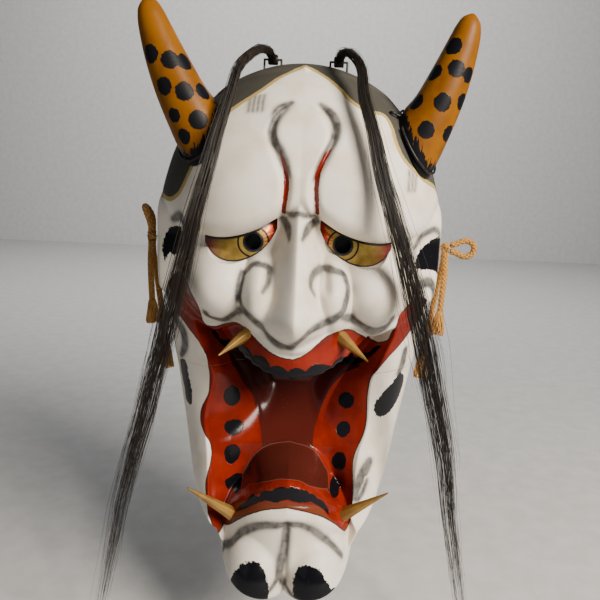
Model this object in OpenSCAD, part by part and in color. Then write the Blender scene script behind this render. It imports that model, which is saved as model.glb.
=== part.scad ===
// Horned demon mask for a wall: carved shell in two glued halves, gilt eyes, horns, fangs, hair and cords.
// Millimetres. +Z is up, -Y is the way the face looks, the back rim lies in the plane y = 0, and the
// origin is the mouth of the pin hole in the crown. Heights are measured from the underside of the chin.

/* [Shell] */
// Height of the face from chin to crown
face_h = 396; // [380:1:412]
// Width of the back rim across the temples
face_w = 224; // [212:1:236]
// Depth of the plain shell at eye level, before carving
face_d = 88; // [82:1:94]
// Width of the back rim under the chin
chin_w = 96; // [88:1:104]
// Width of the back rim over the crown
crown_w = 104; // [96:1:110]
// Thickness of the carved wall
wall = 8; // [7:0.5:9]
// Height of the glue joint between the upper face and the jaw
seam_h = 162; // [158:1:166]

/* [Forehead] */
// Height of the brow's lower edge at the nose
brow_h = 280; // [276:1:284]
// Radius of the brow's rolled lower edge
brow_roll = 13; // [10:1:15]
// Swell of each brow above the plain shell
brow_swell = 10; // [6:1:13]
// Depth of the two frown grooves
groove_depth = 4; // [2:0.5:5]

/* [Nose and cheeks] */
// Height of the nose tip
nose_h = 210; // [207:1:213]
// Depth of the nose tip
nose_d = 131; // [125:1:137]
// Distance of each nostril wing from the middle
wing_x = 25; // [23:1:27]
// Depth of the nostril wings
wing_d = 111; // [107:1:115]
// Distance of each cheek ball from the middle
cheek_x = 53; // [50:1:56]
// Radius of the cheek balls
cheek_r = 22; // [19:1:24]
// Depth of the cheek balls
cheek_d = 101; // [97:1:105]

/* [Mouth] */
// Height of the upper lip's edge in the middle
lip_h = 188; // [185:1:191]
// Depth of the upper lip in the middle
lip_d = 105; // [101:1:109]
// Height of the gum and teeth band under the upper lip
gum_h = 21; // [17:1:24]
// Width of the open mouth
mouth_w = 120; // [112:1:126]
// How much further out the lower mouth's edge lies on the left
left_reach = 7.5; // [5:0.5:9]
// How much further in the lower mouth's edge lies on the right
right_reach = 3.5; // [2:0.5:5]
// Width of the throat at its narrowest
throat_w = 49; // [42:1:54]
// Depth of the throat below the mouth's edge
throat_drop = 34; // [28:1:38]
// Depth of the tongue's dome
tongue_d = 103; // [98:1:107]

/* [Chin] */
// Height of the lower lip's edge in the middle
jaw_lip_h = 77; // [73:1:81]
// Depth of the lower lip
jaw_lip_d = 115; // [111:1:118]
// Depth of the two lobes of the chin
chin_d = 126; // [123:1:129]

/* [Eyes] */
// Distance of each pupil from the middle
pupil_x = 31.5; // [29:0.5:34]
// Drop of the pupil below the brow's edge at the nose
pupil_drop = 20; // [18:0.5:22]
// Diameter of the pupil, a blind hole
pupil_bore = 11.5; // [9:0.5:12]
// Depth of the pupil's hole
pupil_depth = 12; // [8:0.5:14]
// Wall of the cup behind the pupil
pupil_wall = 1; // [0.8:0.1:1.2]
// Radius of the eye plate's dome
eye_dome = 44; // [40:1:50]
// Depth of the eye plate at its highest
eye_d = 82; // [80:0.5:84]
// Thickness of the eye plate
eye_t = 3.5; // [2.5:0.5:5]
// Gap between eye plate and opening
eye_gap = 0.2; // [0.15:0.05:0.4]

/* [Horns] */
// Diameter of the horn at its foot
horn_foot_w = 37; // [33:1:40]
// Diameter of the horn at half its length
horn_mid_w = 30; // [27:1:34]
// Diameter of the horn near its tip
horn_tip_w = 16; // [13:1:19]
// Length of the horn along its middle line
horn_len = 97; // [88:1:107]
// Lean of the horns away from upright
horn_lean = 22; // [17:1:26]
// Diameter of the dowel between horn and shell
dowel_w = 12; // [9:0.5:14]
// Length of the dowel inside the horn
dowel_len = 16; // [12:1:20]
// Clearance of dowels, pegs and roots in their holes
peg_gap = 0.1; // [0.05:0.05:0.2]
// Diameter of the black binding wire
wire_w = 1.8; // [1.4:0.1:2.2]

/* [Fangs] */
// Diameter of the fangs where they leave the gum
fang_w = 11; // [9:0.5:12]
// Length of the upper fangs
upper_fang_len = 28; // [24:1:33]
// Distance of each lower fang from the middle
lower_fang_x = 41.5; // [38:0.5:43]
// Length of the lower fangs
lower_fang_len = 45; // [40:1:50]
// Diameter of the fang's root
fang_root_w = 4.5; // [4:0.5:7]
// Length of the fang's root in its hole
fang_root_len = 4.5; // [4:0.5:7]

/* [Hair] */
// Width of a lock at half its length
lock_w = 16; // [12:1:20]
// Thickness of a lock
lock_t = 7; // [5:0.5:8]
// Diameter of the wire staple that carries a lock
staple_w = 1.6; // [1.2:0.1:2]
// Diameter of the lock's bound root
lock_root_w = 8; // [7:0.5:9]
// Width of the lock's bound root along the staple
lock_root_len = 8; // [7:0.5:9]

/* [Cords] */
// Diameter of the braided cord
cord_w = 5.5; // [4.5:0.5:6]
// Diameter of the knot that closes the loop
knot_w = 12; // [11:0.5:14]
// Diameter of the tassels
tassel_w = 13; // [11:1:16]
// Diameter of the tie thread
thread_w = 1.6; // [1.2:0.1:2]
// Diameter of the hole in the temple
ear_bore = 4; // [3.5:0.5:5]
// Radial clearance of what swings on a thread or staple
swing_gap = 0.06; // [0.04:0.01:0.1]

/* [Hanging] */
// Diameter of the pin hole in the back of the crown
pin_bore = 4; // [3:0.5:4.5]
// Depth of the pin hole
pin_depth = 10; // [8:1:11]

/* [Hidden] */
$fn = 48;
LEFT = -1;
RIGHT = 1;
EPS = 0.01;

// Height of the pin hole, which is the origin
pin_h = face_h - wall * 0.6;
// Angle of the grid column that follows the mouth's edge
mouth_turn = 40.5;
middle_columns = 30;
side_columns = 8;
row_step = 6.5;
// How square the plain shell is across
squareness = 0.75;

// Small tools for smooth shapes
function clamp(low, high, t) = max(low, min(high, t));
function ease(a, b, t) = let (s = clamp(0, 1, (t - a) / (b - a))) s * s * (3 - 2 * s);
function mix(a, b, s) = a * (1 - s) + b * s;
function ridge(d, r) = exp(-(d / r) * (d / r));
function soft_max(a, b, r) = let (s = clamp(0, 1, 0.5 + 0.5 * (a - b) / r)) mix(b, a, s) + r * s * (1 - s);
function unit(v) = v / norm(v);
function mound(u, v, peak, drop, power) = peak - drop * pow(u * u + v * v, power / 2);

// A smooth curve through hand-set points [place, value]
function span(p, t, k = 0) = (k >= len(p) - 2 || t < p[k + 1][0]) ? k : span(p, t, k + 1);
function slope(p, k) = let (a = max(k - 1, 0), b = min(k + 1, len(p) - 1))
    (p[b][1] - p[a][1]) / (p[b][0] - p[a][0]);
function curve(p, t) = let (
    c = clamp(p[0][0], p[len(p) - 1][0], t),
    k = span(p, c),
    w = p[k + 1][0] - p[k][0],
    s = (c - p[k][0]) / w,
    ease_up = s * s * (3 - 2 * s)
) mix(p[k][1], p[k + 1][1], ease_up)
    + w * s * (1 - s) * (slope(p, k) * (1 - s) - slope(p, k + 1) * s);

// The back rim: half width and height for each row of the shell
rim_half = [
    [0, chin_w / 2], [40, chin_w / 2 + 20], [80, chin_w / 2 + 34], [120, face_w / 2 - 20],
    [160, face_w / 2 - 13], [200, face_w / 2 - 6], [240, face_w / 2], [280, face_w / 2 - 1],
    [face_h - 74, face_w / 2 - 10], [face_h - 44, crown_w / 2 + 37],
    [face_h - 20, crown_w / 2 + 19], [face_h, crown_w / 2]
];
rim_height = [
    [0, 30], [40, 58], [80, 92], [120, 126], [seam_h, seam_h], [200, 200], [280, 280],
    [face_h - 74, face_h - 77], [face_h - 44, face_h - 52], [face_h - 20, face_h - 33], [face_h, face_h - 19]
];
// The plain shell: depth along its middle for each row
shell_depth = [
    [0, 0], [5, chin_d - 36], [16, chin_d - 12], [38, jaw_lip_d - 3], [60, jaw_lip_d - 5],
    [77, jaw_lip_d - 11], [97, face_d + 2], [118, face_d - 9], [140, face_d - 12], [170, face_d - 10],
    [210, face_d - 4], [250, face_d], [290, face_d + 2], [face_h - 74, face_d - 1],
    [face_h - 48, face_d - 11], [face_h - 27, face_d - 28], [face_h - 12, face_d - 50],
    [face_h - 4, face_d - 70], [face_h, 0]
];
// Lines of the carving: height over distance from the middle
brow_line = [
    [0, brow_h + 2], [12, brow_h - 2], [29, brow_h - 12], [48, brow_h - 18],
    [66, brow_h - 18], [92, brow_h - 10], [112, brow_h + 12]
];
lid_line = [
    [12, brow_h - 4], [20, brow_h - 20], [33, brow_h - 31],
    [48, brow_h - 35], [60, brow_h - 31], [69, brow_h - 20]
];
lip_line = [
    [0, lip_h], [10, lip_h + 2], [22, lip_h + 9.5], [39, lip_h + 16], [50, lip_h + 11], [58, lip_h + 7],
    [66, lip_h + 9], [85, lip_h + 20], [100, lip_h + 30], [112, lip_h + 38]
];
teeth_line = [
    [0, lip_h - gum_h], [20, lip_h - gum_h + 3], [35, lip_h - gum_h + 10],
    [48, lip_h - gum_h + 19], [60, lip_h - gum_h + 27], [72, lip_h - gum_h + 34]
];
jaw_lip_line = [
    [0, jaw_lip_h], [20, jaw_lip_h - 4], [35, jaw_lip_h - 13], [46, jaw_lip_h - 24], [56, jaw_lip_h - 37]
];
// Half widths over height: the mouth's edge, the throat and the frown grooves
mouth_half = [
    [0, mouth_w / 2 - 26], [30, mouth_w / 2 - 13], [45, mouth_w / 2 - 9], [60, mouth_w / 2 - 7],
    [75, mouth_w / 2 - 8], [90, mouth_w / 2 - 6], [105, mouth_w / 2 - 4], [120, mouth_w / 2 - 0.5],
    [150, mouth_w / 2], [163, mouth_w / 2 + 3], [182, mouth_w / 2 + 16], [200, mouth_w / 2 + 28]
];
throat_half = [
    [70, throat_w / 2 + 15], [85, throat_w / 2 + 8], [100, throat_w / 2 + 2.5], [112, throat_w / 2],
    [125, throat_w / 2 + 2.5], [140, throat_w / 2 + 8], [160, throat_w / 2 + 19], [190, throat_w / 2 + 41]
];
groove_half = [
    [brow_h - 8, 13], [brow_h + 2, 11.5], [brow_h + 12, 9.5], [brow_h + 24, 9.5], [brow_h + 38, 15.5],
    [brow_h + 53, 21], [brow_h + 64, 18], [brow_h + 72, 12], [brow_h + 77, 7]
];
// The nose over height: depth of its ridge and half width
nose_ridge = [
    [nose_h - 30, nose_d - 39], [nose_h - 20, nose_d - 27], [nose_h - 14, nose_d - 16],
    [nose_h - 8, nose_d - 6], [nose_h, nose_d], [nose_h + 8, nose_d - 1], [nose_h + 22, nose_d - 9],
    [nose_h + 40, nose_d - 19], [nose_h + 58, nose_d - 30], [nose_h + 72, nose_d - 37],
    [nose_h + 86, nose_d - 47], [nose_h + 100, nose_d - 90]
];
nose_half = [[nose_h - 20, 13], [nose_h - 5, 14], [nose_h + 10, 12], [nose_h + 35, 10], [nose_h + 60, 9]];
eye_hollow = [
    [lip_h - 3, face_d - 8], [lip_h + 27, face_d - 3], [brow_h - 40, face_d - 8],
    [brow_h - 22, face_d - 11], [brow_h + 5, face_d - 12], [brow_h + 20, face_d - 50]
];

// Depth of the upper face at distance a from the middle and height h, over the plain depth
function brow_depth(a, h, plain) = let (
    swell = brow_swell * ridge((a - 50) / 46, 1) * ridge((h - brow_h - 12) / 38, 1),
    active = ease(brow_h - 10, brow_h, h) * (1 - ease(brow_h + 69, brow_h + 76, h)),
    aside = a - curve(groove_half, h),
    cut = groove_depth * ridge(aside, 3) * active,
    bulb = 0.4 * groove_depth * (1 - ease(-4, 2, aside)) * active,
    above = h - curve(brow_line, a),
    turn = clamp(0, 1, (brow_roll - above) / brow_roll),
    roll = brow_roll * (1 - sqrt(1 - 0.96 * turn * turn)) + 2.5 * max(0, -above)
) plain + swell + bulb - cut - roll;

function upper_depth(a, h, plain) = let (
    hollow = curve(eye_hollow, h) - 0.0042 * pow(max(a - 15, 0), 2),
    cheek = mound((a - cheek_x) / cheek_r, (h - lip_h - 40) / cheek_r, cheek_d, 15, 2.4),
    wing = mound((a - wing_x) / 14, (h - nose_h - 12) / 24, wing_d, 17, 2.4),
    nose = curve(nose_ridge, h) - 13 * pow(a / curve(nose_half, h), 1.45),
    curl = groove_depth * ridge(a - wing_x + 5, 3) * ease(nose_h + 16, nose_h + 23, h)
        * (1 - ease(nose_h + 33, nose_h + 40, h)),
    lip = lip_d - 0.0118 * a * a - 0.1 * pow(max(h - curve(lip_line, a) - 4, 0), 1.5),
    round_forms = soft_max(soft_max(soft_max(hollow, cheek, 4), lip, 5), wing, 3.5)
) soft_max(soft_max(round_forms, nose, 5) - curl, brow_depth(a, h, plain), 3);

// Depth of the mouth, jaw and chin; edge is the mouth's half width there and brim the depth of that edge
function chin_depth(a, h) = let (
    above = h - curve(jaw_lip_line, a),
    gum = jaw_lip_d - 4 - 0.013 * a * a - 6 * max(above - max(16 - 0.011 * a * a, 7), 0),
    plain = jaw_lip_d - 0.0125 * a * a - 0.035 * pow(max(26 - h, 0), 2),
    lobe = mound((a - 21) / 21, (h - 16) / 30, chin_d, 15, 2.4),
    cleft = 2.6 * ridge(a, 2.6) * ease(2, 10, h) * (1 - ease(60, 72, h)),
    lip_roll = 1.6 * ridge(above + 6, 5)
) mix(soft_max(plain, lobe, 4) - cleft + lip_roll, gum, ease(-1.5, 1.5, above))
    - 0.05 * pow(max(a - 38, 0), 2);

function lower_depth(a, h, plain, edge, brim) = let (
    inset = edge - a,
    throat = curve(throat_half, h),
    flank = brim - 1.2 * ease(0, 3, inset)
        - 0.58 * throat_drop * pow(clamp(0, 1, inset / max(edge - throat, 1)), 1.5)
        - 0.42 * throat_drop * ease(0, 20, throat - a),
    floor_d = inset > 0 ? flank : plain,
    over_teeth = h - curve(teeth_line, a),
    gum = lip_d - 3.5 - 0.0125 * a * a - 1.5 * ease(8, 3, over_teeth) - 7 * max(-over_teeth, 0),
    with_gum = inset > -6 ? soft_max(floor_d, gum, 3) : floor_d,
    root = tongue_d - 43 - 0.95 * max(h - jaw_lip_h - 25, 0),
    tongue = mound(a / 30, (h - jaw_lip_h - 3) / 22.5, tongue_d, 38, 2.6),
    with_tongue = inset > 0 ? soft_max(soft_max(with_gum, root, 7), tongue, 3) : with_gum
) soft_max(with_tongue, chin_depth(a, h), 4);

// How much further out than drawn the lower mouth's edge lies: it sits a little to the left
function mouth_reach(turn, row) = turn < 0 ? left_reach * ease(45, 75, row) * (1 - ease(118, 158, row))
    : -right_reach * ease(50, 78, row) * (1 - ease(98, 128, row));

// Distance of the mouth's edge from the middle
function mouth_edge(turn, row) = mix(
    curve(mouth_half, row) + mouth_reach(turn, row), curve(rim_half, row) * sin(mouth_turn),
    ease(170, 215, row)
);

// The carved skin at a turn (-90 to 90, left rim to right rim) and a row (0 to face_h): [x, depth, height]
function skin(turn, row) = let (
    half = curve(rim_half, row),
    rim = curve(rim_height, row),
    across = abs(sin(turn)),
    at_mouth = sin(mouth_turn),
    edge = mouth_edge(turn, row),
    a = across <= at_mouth ? edge * across / at_mouth
        : edge + (half - edge) * (across - at_mouth) / (1 - at_mouth),
    follow = ridge(row - jaw_lip_h, 30) * (curve(jaw_lip_line, min(a, 46)) - jaw_lip_h)
        + ridge(row - lip_h, 26) * (curve(lip_line, min(a, 72)) - lip_h)
        + ridge(row - brow_h, 24) * (curve(brow_line, a) - brow_h),
    lift = follow * (1 - ridge(row - seam_h, 8)),
    h = mix(rim, row, pow(cos(turn), 1.5)) + lift * pow(cos(turn), 0.3),
    plain = curve(shell_depth, row) * pow(cos(turn), squareness),
    brim = curve(shell_depth, row) * pow(cos(mouth_turn), squareness),
    over_lip = ease(-5, 0, h - curve(lip_line, a)),
    at_cheek = 1 - ease(-2, 6, a - edge) * (1 - ease(lip_h + 8, lip_h + 28, h)),
    carved = mix(lower_depth(a, h, plain, edge, brim), upper_depth(a, h, plain), over_lip * at_cheek),
    share = ease(0.05, 0.34, cos(turn)) * ease(0, 14, row) * ease(0, 16, face_h - row)
) [sign(turn) * a, mix(plain, carved, share), h];
function place(p) = [p[0], -p[1], p[2] - pin_h];

// The shell's grid: rows from chin to crown, with one row at the glue joint
side_turns = [for (k = [1:side_columns]) mouth_turn + (90 - mouth_turn) * k / side_columns];
turns = concat(
    [for (k = [side_columns - 1:-1:0]) -side_turns[k]],
    [for (k = [0:middle_columns]) mouth_turn * (2 * k / middle_columns - 1)],
    side_turns
);
function rows_between(low, high) = let (n = round((high - low) / row_step) + 1)
    [for (k = [0:n]) low + (high - low) * k / n];
row_marks = [0, jaw_lip_h, seam_h, lip_h, brow_h, face_h];
rows = concat(
    [for (k = [0:len(row_marks) - 2]) let (part = rows_between(row_marks[k], row_marks[k + 1]))
        for (j = [0:len(part) - 2]) part[j]],
    [face_h]
);
seam_row = search(seam_h, rows)[0];
function skin_grid() = [for (r = rows) [for (t = turns) skin(t, r)]];

// Height over which the hollow is set in from chin and crown
end_blend = 60;
// Least depth of the hollow next to the rim, as a share of the skin's depth there
rim_flare = 0.25;
// The hollow behind the skin: set in by the wall all round, and behind the deepest carving near by
function hollow(grid, i, k) = let (
    p = grid[i][k],
    shallow = min([for (m = [-1:1], n = [-1:1])
        grid[clamp(0, len(rows) - 1, i + m)][clamp(0, len(turns) - 1, k + n)][1]]),
    depth = max(shallow, p[1] - 5 * wall) - wall * sqrt(cos(turns[k])),
    from_end = min(rows[i], face_h - rows[i]),
    inward = wall * (1 - ease(0, end_blend, rows[i])) - wall * ease(face_h - end_blend, face_h, rows[i])
) [
    p[0] * (1 - wall / curve(rim_half, rows[i])),
    max(rim_flare * p[1], depth) * ease(0, 2 * row_step, from_end),
    p[2] + inward
];

// One half of the shell between two rows of the grid, closed along its rim and its joint
function quad(a, b, c, d) = [[a, b, c], [a, c, d]];
module shell(first, last) {
    grid = skin_grid();
    count = len(turns);
    high = last - first;
    back = count * (high + 1);
    points = concat(
        [for (i = [first:last], k = [0:count - 1]) place(grid[i][k])],
        [for (i = [first:last], k = [0:count - 1]) place(hollow(grid, i, k))]
    );
    faces = [
        for (i = [0:high - 1], k = [0:count - 2]) let (a = i * count + k)
            each quad(a, a + count, a + count + 1, a + 1),
        for (i = [0:high - 1], k = [0:count - 2]) let (a = back + i * count + k)
            each quad(a, a + 1, a + count + 1, a + count),
        for (i = [0:high - 1]) let (a = i * count)
            each quad(a, a + back, a + back + count, a + count),
        for (i = [0:high - 1]) let (a = i * count + count - 1)
            each quad(a, a + count, a + back + count, a + back),
        for (k = [0:count - 2])
            each quad(k, k + 1, k + 1 + back, k + back),
        for (k = [0:count - 2]) let (a = high * count + k)
            each quad(a, a + back, a + back + 1, a + 1)
    ];
    polyhedron(points, faces);
}

// Points and outward normals on the skin
function spot(turn, row) = place(skin(turn, row));
function outward(turn, row) = unit(cross(
    spot(turn + 1, row) - spot(turn - 1, row),
    spot(turn, row + 2) - spot(turn, row - 2)
));

// Turns +Z to a direction, then moves to a point
module aim(point, direction) {
    d = unit(direction);
    translate(point) rotate([0, acos(d[2]), atan2(d[1], d[0])]) children();
}

// A closed tube through rings of points, all with the same number of sides
module loft(rings) {
    sides = len(rings[0]);
    last = len(rings) - 1;
    faces = concat(
        [for (i = [0:last - 1], k = [0:sides - 1]) let (a = i * sides + k, b = i * sides + (k + 1) % sides)
            each quad(a, a + sides, b + sides, b)],
        [[for (k = [0:sides - 1]) k]],
        [[for (k = [sides - 1:-1:0]) last * sides + k]]
    );
    polyhedron([for (r = rings) each r], faces);
}

// A tube along a route, flat across the given side direction: wide and thick are lists or one size
function along(route, k) = unit(route[min(k + 1, len(route) - 1)] - route[max(k - 1, 0)]);
function size_at(size, k) = is_list(size) ? size[k] : size;
function tube_ring(route, k, wide, thick, side, sides) = let (
    u = unit(cross(along(route, k), side)),
    v = cross(along(route, k), u)
) [for (j = [0:sides - 1]) let (t = 360 * (j + 0.5) / sides)
    route[k] + u * cos(t) * size_at(wide, k) / 2 + v * sin(t) * size_at(thick, k) / 2];
module tube(route, wide, thick, side, sides = 8) {
    loft([for (k = [0:len(route) - 1]) tube_ring(route, k, wide, thick, side, sides)]);
}

// Horns: place on the shell, direction, and the flat seat their foot stands on
horn_row = face_h - 60;
// The horns aren't quite alike: the right one sits further out, and the left one leans more
function horn_turn(side) = side == LEFT ? 48 : 60;
function lean(side) = horn_lean - 2 * side;
seat_cut = 2.5;
horn_sides = 20;
function horn_out(side) = outward(side * horn_turn(side), horn_row);
function horn_seat(side) = spot(side * horn_turn(side), horn_row) - seat_cut * horn_out(side);
function horn_axis(side) = unit([side * sin(lean(side)), -0.06, cos(lean(side))]);
function horn_across(side) = unit(cross([0, 1, 0], horn_axis(side)));
horn_bend = 3.5;
horn_shape = [
    [0, horn_foot_w / 2], [0.12, horn_foot_w / 2], [0.5, horn_mid_w / 2],
    [0.85, horn_tip_w / 2 + 2], [0.95, horn_tip_w / 2 - 1], [1, horn_tip_w / 2 - 4]
];
horn_marks = [0, 0.1, 0.2, 0.3, 0.4, 0.5, 0.6, 0.7, 0.8, 0.87, 0.93, 0.97, 0.99, 1];
function horn_round(s) = s > 0.93 ? sqrt(1 - pow((s - 0.93) / 0.072, 2)) : 1;
function horn_circle(side, j) = let (t = 360 * j / horn_sides, u = horn_across(side))
    u * cos(t) + cross(horn_axis(side), u) * sin(t);
// A ring round the horn at share s of its length: slanted like the seat at the foot, square to the axis above
horn_slant_end = 0.4;
function horn_ring(side, s, grow = 0) = let (
    middle = horn_seat(side) + [side * horn_bend * 4 * s * (1 - s), 0, 0],
    size = curve(horn_shape, s) * horn_round(s) + grow,
    slant = 1 - ease(0, horn_slant_end, s)
) [for (j = [0:horn_sides - 1]) let (
    r = size * horn_circle(side, j),
    down = slant * (r * horn_out(side)) / (horn_axis(side) * horn_out(side))
) middle + r + (s * horn_len - down) * horn_axis(side)];
module horn_dowel_space(side, gap) {
    through = wall / (horn_axis(side) * horn_out(side)) + 2;
    aim(horn_seat(side) - through * horn_axis(side), horn_axis(side))
        cylinder(h = through + dowel_len + gap, d = dowel_w + 2 * gap);
}
module horn(side) {
    color("goldenrod") difference() {
        loft([for (s = horn_marks) horn_ring(side, s)]);
        horn_dowel_space(side, peg_gap);
    }
}
module horn_dowel(side) {
    color("burlywood") horn_dowel_space(side, 0);
}
// The flat seat, wide enough for the binding wire
module horn_seat_cut(side) {
    room = 2 * wire_w + 0.5;
    loft([horn_ring(side, 0, room), horn_ring(side, 0.1, room), horn_ring(side, 0.2, room)]);
}

// Binding wire: once round the foot of the horn, then a short tail
wire_lift = 4;
wire_gap = 0.4;
wire_tail = 9;
module horn_wire(side) {
    ring = horn_ring(side, wire_lift / horn_len, wire_w / 2 + wire_gap);
    start = side == LEFT ? 2 : 12;
    turn_of_wire = [for (j = [0:horn_sides - 2]) ring[(start + j) % horn_sides]];
    last = turn_of_wire[len(turn_of_wire) - 1];
    away = unit(last - horn_seat(side) - ((last - horn_seat(side)) * horn_axis(side)) * horn_axis(side));
    color("black") tube(
        concat(turn_of_wire, [last + 0.4 * wire_tail * away, last + wire_tail * away]),
        wire_w, wire_w, horn_axis(side)
    );
}

// Fangs: a faceted cone on a round root, and the seat and hole they need
upper_fang_turn = 17.5;
upper_fang_row = lip_h - 7;
lower_fang_row = jaw_lip_h - 2.5;
fang_sides = 7;
fang_cut = 2;
fang_tip_w = 1.2;
function fang_turn(side, upper) = upper ? upper_fang_turn
    : asin(sin(mouth_turn) * lower_fang_x / mouth_edge(side, lower_fang_row));
function fang_row(upper) = upper ? upper_fang_row : lower_fang_row;
function fang_axis(side, upper) = unit(upper ? [side * 0.66, -0.6, -0.46] : [side * 0.7, -0.35, 0.62]);
function fang_foot(side, upper) =
    spot(side * fang_turn(side, upper), fang_row(upper)) - fang_cut * fang_axis(side, upper);
module fang(side, upper) {
    color("goldenrod") aim(fang_foot(side, upper), fang_axis(side, upper)) {
        cylinder(h = upper ? upper_fang_len : lower_fang_len, d1 = fang_w, d2 = fang_tip_w, $fn = fang_sides);
        translate([0, 0, -fang_root_len]) cylinder(h = fang_root_len + EPS, d = fang_root_w);
    }
}
module fang_cut_space(side, upper) {
    aim(fang_foot(side, upper), fang_axis(side, upper)) {
        cylinder(h = 4 * fang_cut + fang_w, d = fang_w + 2 * peg_gap);
        translate([0, 0, -fang_root_len - peg_gap])
            cylinder(h = fang_root_len + peg_gap + EPS, d = fang_root_w + 2 * peg_gap);
    }
}

// Eyes: an almond between brow and lid, filled by a domed plate with a cup for the pupil
eye_in = 15;
eye_out = 67;
eye_steps = 14;
function eye_x(k) = eye_in + (eye_out - eye_in) * k / eye_steps;
function almond_x(k, gap) = eye_x(k) + gap * (1 - 2 * k / eye_steps);
eye_under_brow = 1;
function almond(gap) = concat(
    [for (k = [0:eye_steps]) [almond_x(k, gap), curve(brow_line, eye_x(k)) + eye_under_brow - gap]],
    [for (k = [eye_steps:-1:0]) [almond_x(k, gap), curve(lid_line, eye_x(k)) + gap]]
);
eye_back = eye_d - 34;
module eye_space(side, gap, front) {
    mirror([side == LEFT ? 1 : 0, 0, 0]) translate([0, -eye_back, -pin_h]) rotate([90, 0, 0])
        linear_extrude(height = front - eye_back) polygon(almond(gap));
}
eye_middle = [(eye_in + eye_out) / 2 - 3, -(eye_d - eye_dome), brow_h - pupil_drop - pin_h];
module eye(side) {
    middle = [side * eye_middle[0], eye_middle[1], eye_middle[2]];
    front = eye_middle[1] - sqrt(pow(eye_dome, 2) - pow(pupil_x - eye_middle[0], 2));
    pupil = [side * pupil_x, front, eye_middle[2]];
    color("gold") difference() {
        union() {
            difference() {
                intersection() {
                    eye_space(side, eye_gap, eye_d + 1);
                    translate(middle) sphere(r = eye_dome, $fn = 96);
                }
                translate(middle) sphere(r = eye_dome - eye_t, $fn = 96);
            }
            aim(pupil + [0, pupil_depth + pupil_wall, 0], [0, -1, 0])
                cylinder(h = pupil_depth + pupil_wall - eye_t / 2, d = pupil_bore + 2 * pupil_wall);
        }
        aim(pupil + [0, pupil_depth, 0], [0, -1, 0]) cylinder(h = pupil_depth + eye_t, d = pupil_bore);
    }
}

// Hair: a wire staple in the crown, the bound root that swings on it, and the lock
hair_turn = 26;
hair_row = face_h - 5;
root_lift = lock_root_w / 2 + 0.9;
staple_span = lock_root_len / 2 + 1.5 * staple_w;
staple_sink = 5;
function hair_pivot(side) = spot(side * hair_turn, hair_row) + [0, 0, root_lift];
module staple_legs(side, gap) {
    for (end = [-1, 1])
        translate(hair_pivot(side) + [end * staple_span, 0, -root_lift - staple_sink])
            cylinder(h = root_lift + staple_sink, d = staple_w + 2 * gap);
}
module hair_staple(side) {
    color("dimgray") {
        staple_legs(side, 0);
        translate(hair_pivot(side) - [staple_span, 0, 0]) rotate([0, 90, 0])
            cylinder(h = 2 * staple_span, d = staple_w);
        for (end = [-1, 1])
            translate(hair_pivot(side) + [end * staple_span, 0, 0]) sphere(d = staple_w);
    }
}
root_flat = lock_root_w / 2 - 1;
module hair_root(side) {
    color("black") difference() {
        translate(hair_pivot(side) - [lock_root_len / 2, 0, 0]) rotate([0, 90, 0])
            cylinder(h = lock_root_len, d = lock_root_w);
        translate(hair_pivot(side) - [lock_root_len, 0, 0]) rotate([0, 90, 0])
            cylinder(h = 2 * lock_root_len, d = staple_w + 2 * swing_gap);
        translate(hair_pivot(side) + [-lock_root_len, -root_flat - lock_root_w, -lock_root_w])
            cube([2 * lock_root_len, lock_root_w, 2 * lock_root_w]);
    }
}
// Route of each lock: out from its root over the crown (outwards, depth, rise from the pivot) ...
left_crown_route = [[2, -10.5, 3.5], [7, -18.5, 4], [14, -29.5, -2.5], [21, -42.5, -13.5]];
right_crown_route = [[1, -10.5, 3.5], [4, -18.5, 4], [9, -29.5, -1.5], [14, -42.5, -12.5]];
// ... then over forehead and cheek, and hanging free: place across, depth and height above the chin
function forehead_h(s) = mix(brow_h, face_h, s);
function cheek_h(s) = mix(lip_h, brow_h, s);
left_lock_route = [
    [-50, -face_d + 10, forehead_h(0.69)], [-56, -face_d - 2, forehead_h(0.47)],
    [-62, -face_d - 12, forehead_h(0.22)], [-68, -face_d - 18, brow_h], [-74, -face_d - 18, cheek_h(0.73)],
    [-80, -cheek_d - 4, cheek_h(0.46)], [-87, -cheek_d + 1, cheek_h(0.19)],
    [-94, -92, 180], [-101, -88, 155], [-107, -86, 130], [-114, -85, 105], [-120, -85, 80],
    [-126, -85, 55], [-131, -85, 30], [-136, -85, 5], [-141, -85, -20], [-146, -85, -45]
];
right_lock_route = [
    [40, -face_d + 10, forehead_h(0.72)], [46, -face_d - 2, forehead_h(0.52)],
    [53, -face_d - 12, forehead_h(0.26)], [62, -face_d - 18, brow_h + 2], [71, -face_d - 18, cheek_h(0.74)],
    [79, -cheek_d - 4, cheek_h(0.46)], [87, -cheek_d + 1, cheek_h(0.19)],
    [95, -92, 180], [102, -88, 155], [109, -86, 130], [115, -85, 105], [119, -85, 80],
    [123, -85, 55], [128, -85, 30], [133, -85, 5], [138, -85, -20], [142, -85, -45]
];
function lock_start(side) = hair_pivot(side) + [0, -root_flat, 0];
function lock_route(side) = concat(
    [lock_start(side), lock_start(side) + [0, -2, 0]],
    [
        for (p = side == LEFT ? left_crown_route : right_crown_route)
            hair_pivot(side) + [side * p[0], p[1], p[2]]
    ],
    [for (p = side == LEFT ? left_lock_route : right_lock_route) p - [0, 0, pin_h]]
);
lock_spread = [
    [0, 6], [0.1, 7], [0.3, lock_w * 0.8], [0.5, lock_w], [0.75, lock_w * 0.7], [1, lock_w * 0.25]
];
lock_depth = [[0, 5], [0.15, lock_t], [0.6, lock_t], [1, lock_t * 0.4]];
module hair_lock(side) {
    route = lock_route(side);
    shares = [for (k = [0:len(route) - 1]) k / (len(route) - 1)];
    color([0.1, 0.08, 0.07]) tube(
        route, [for (s = shares) curve(lock_depth, s)], [for (s = shares) curve(lock_spread, s)],
        [1, 0, 0], 10
    );
}

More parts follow.
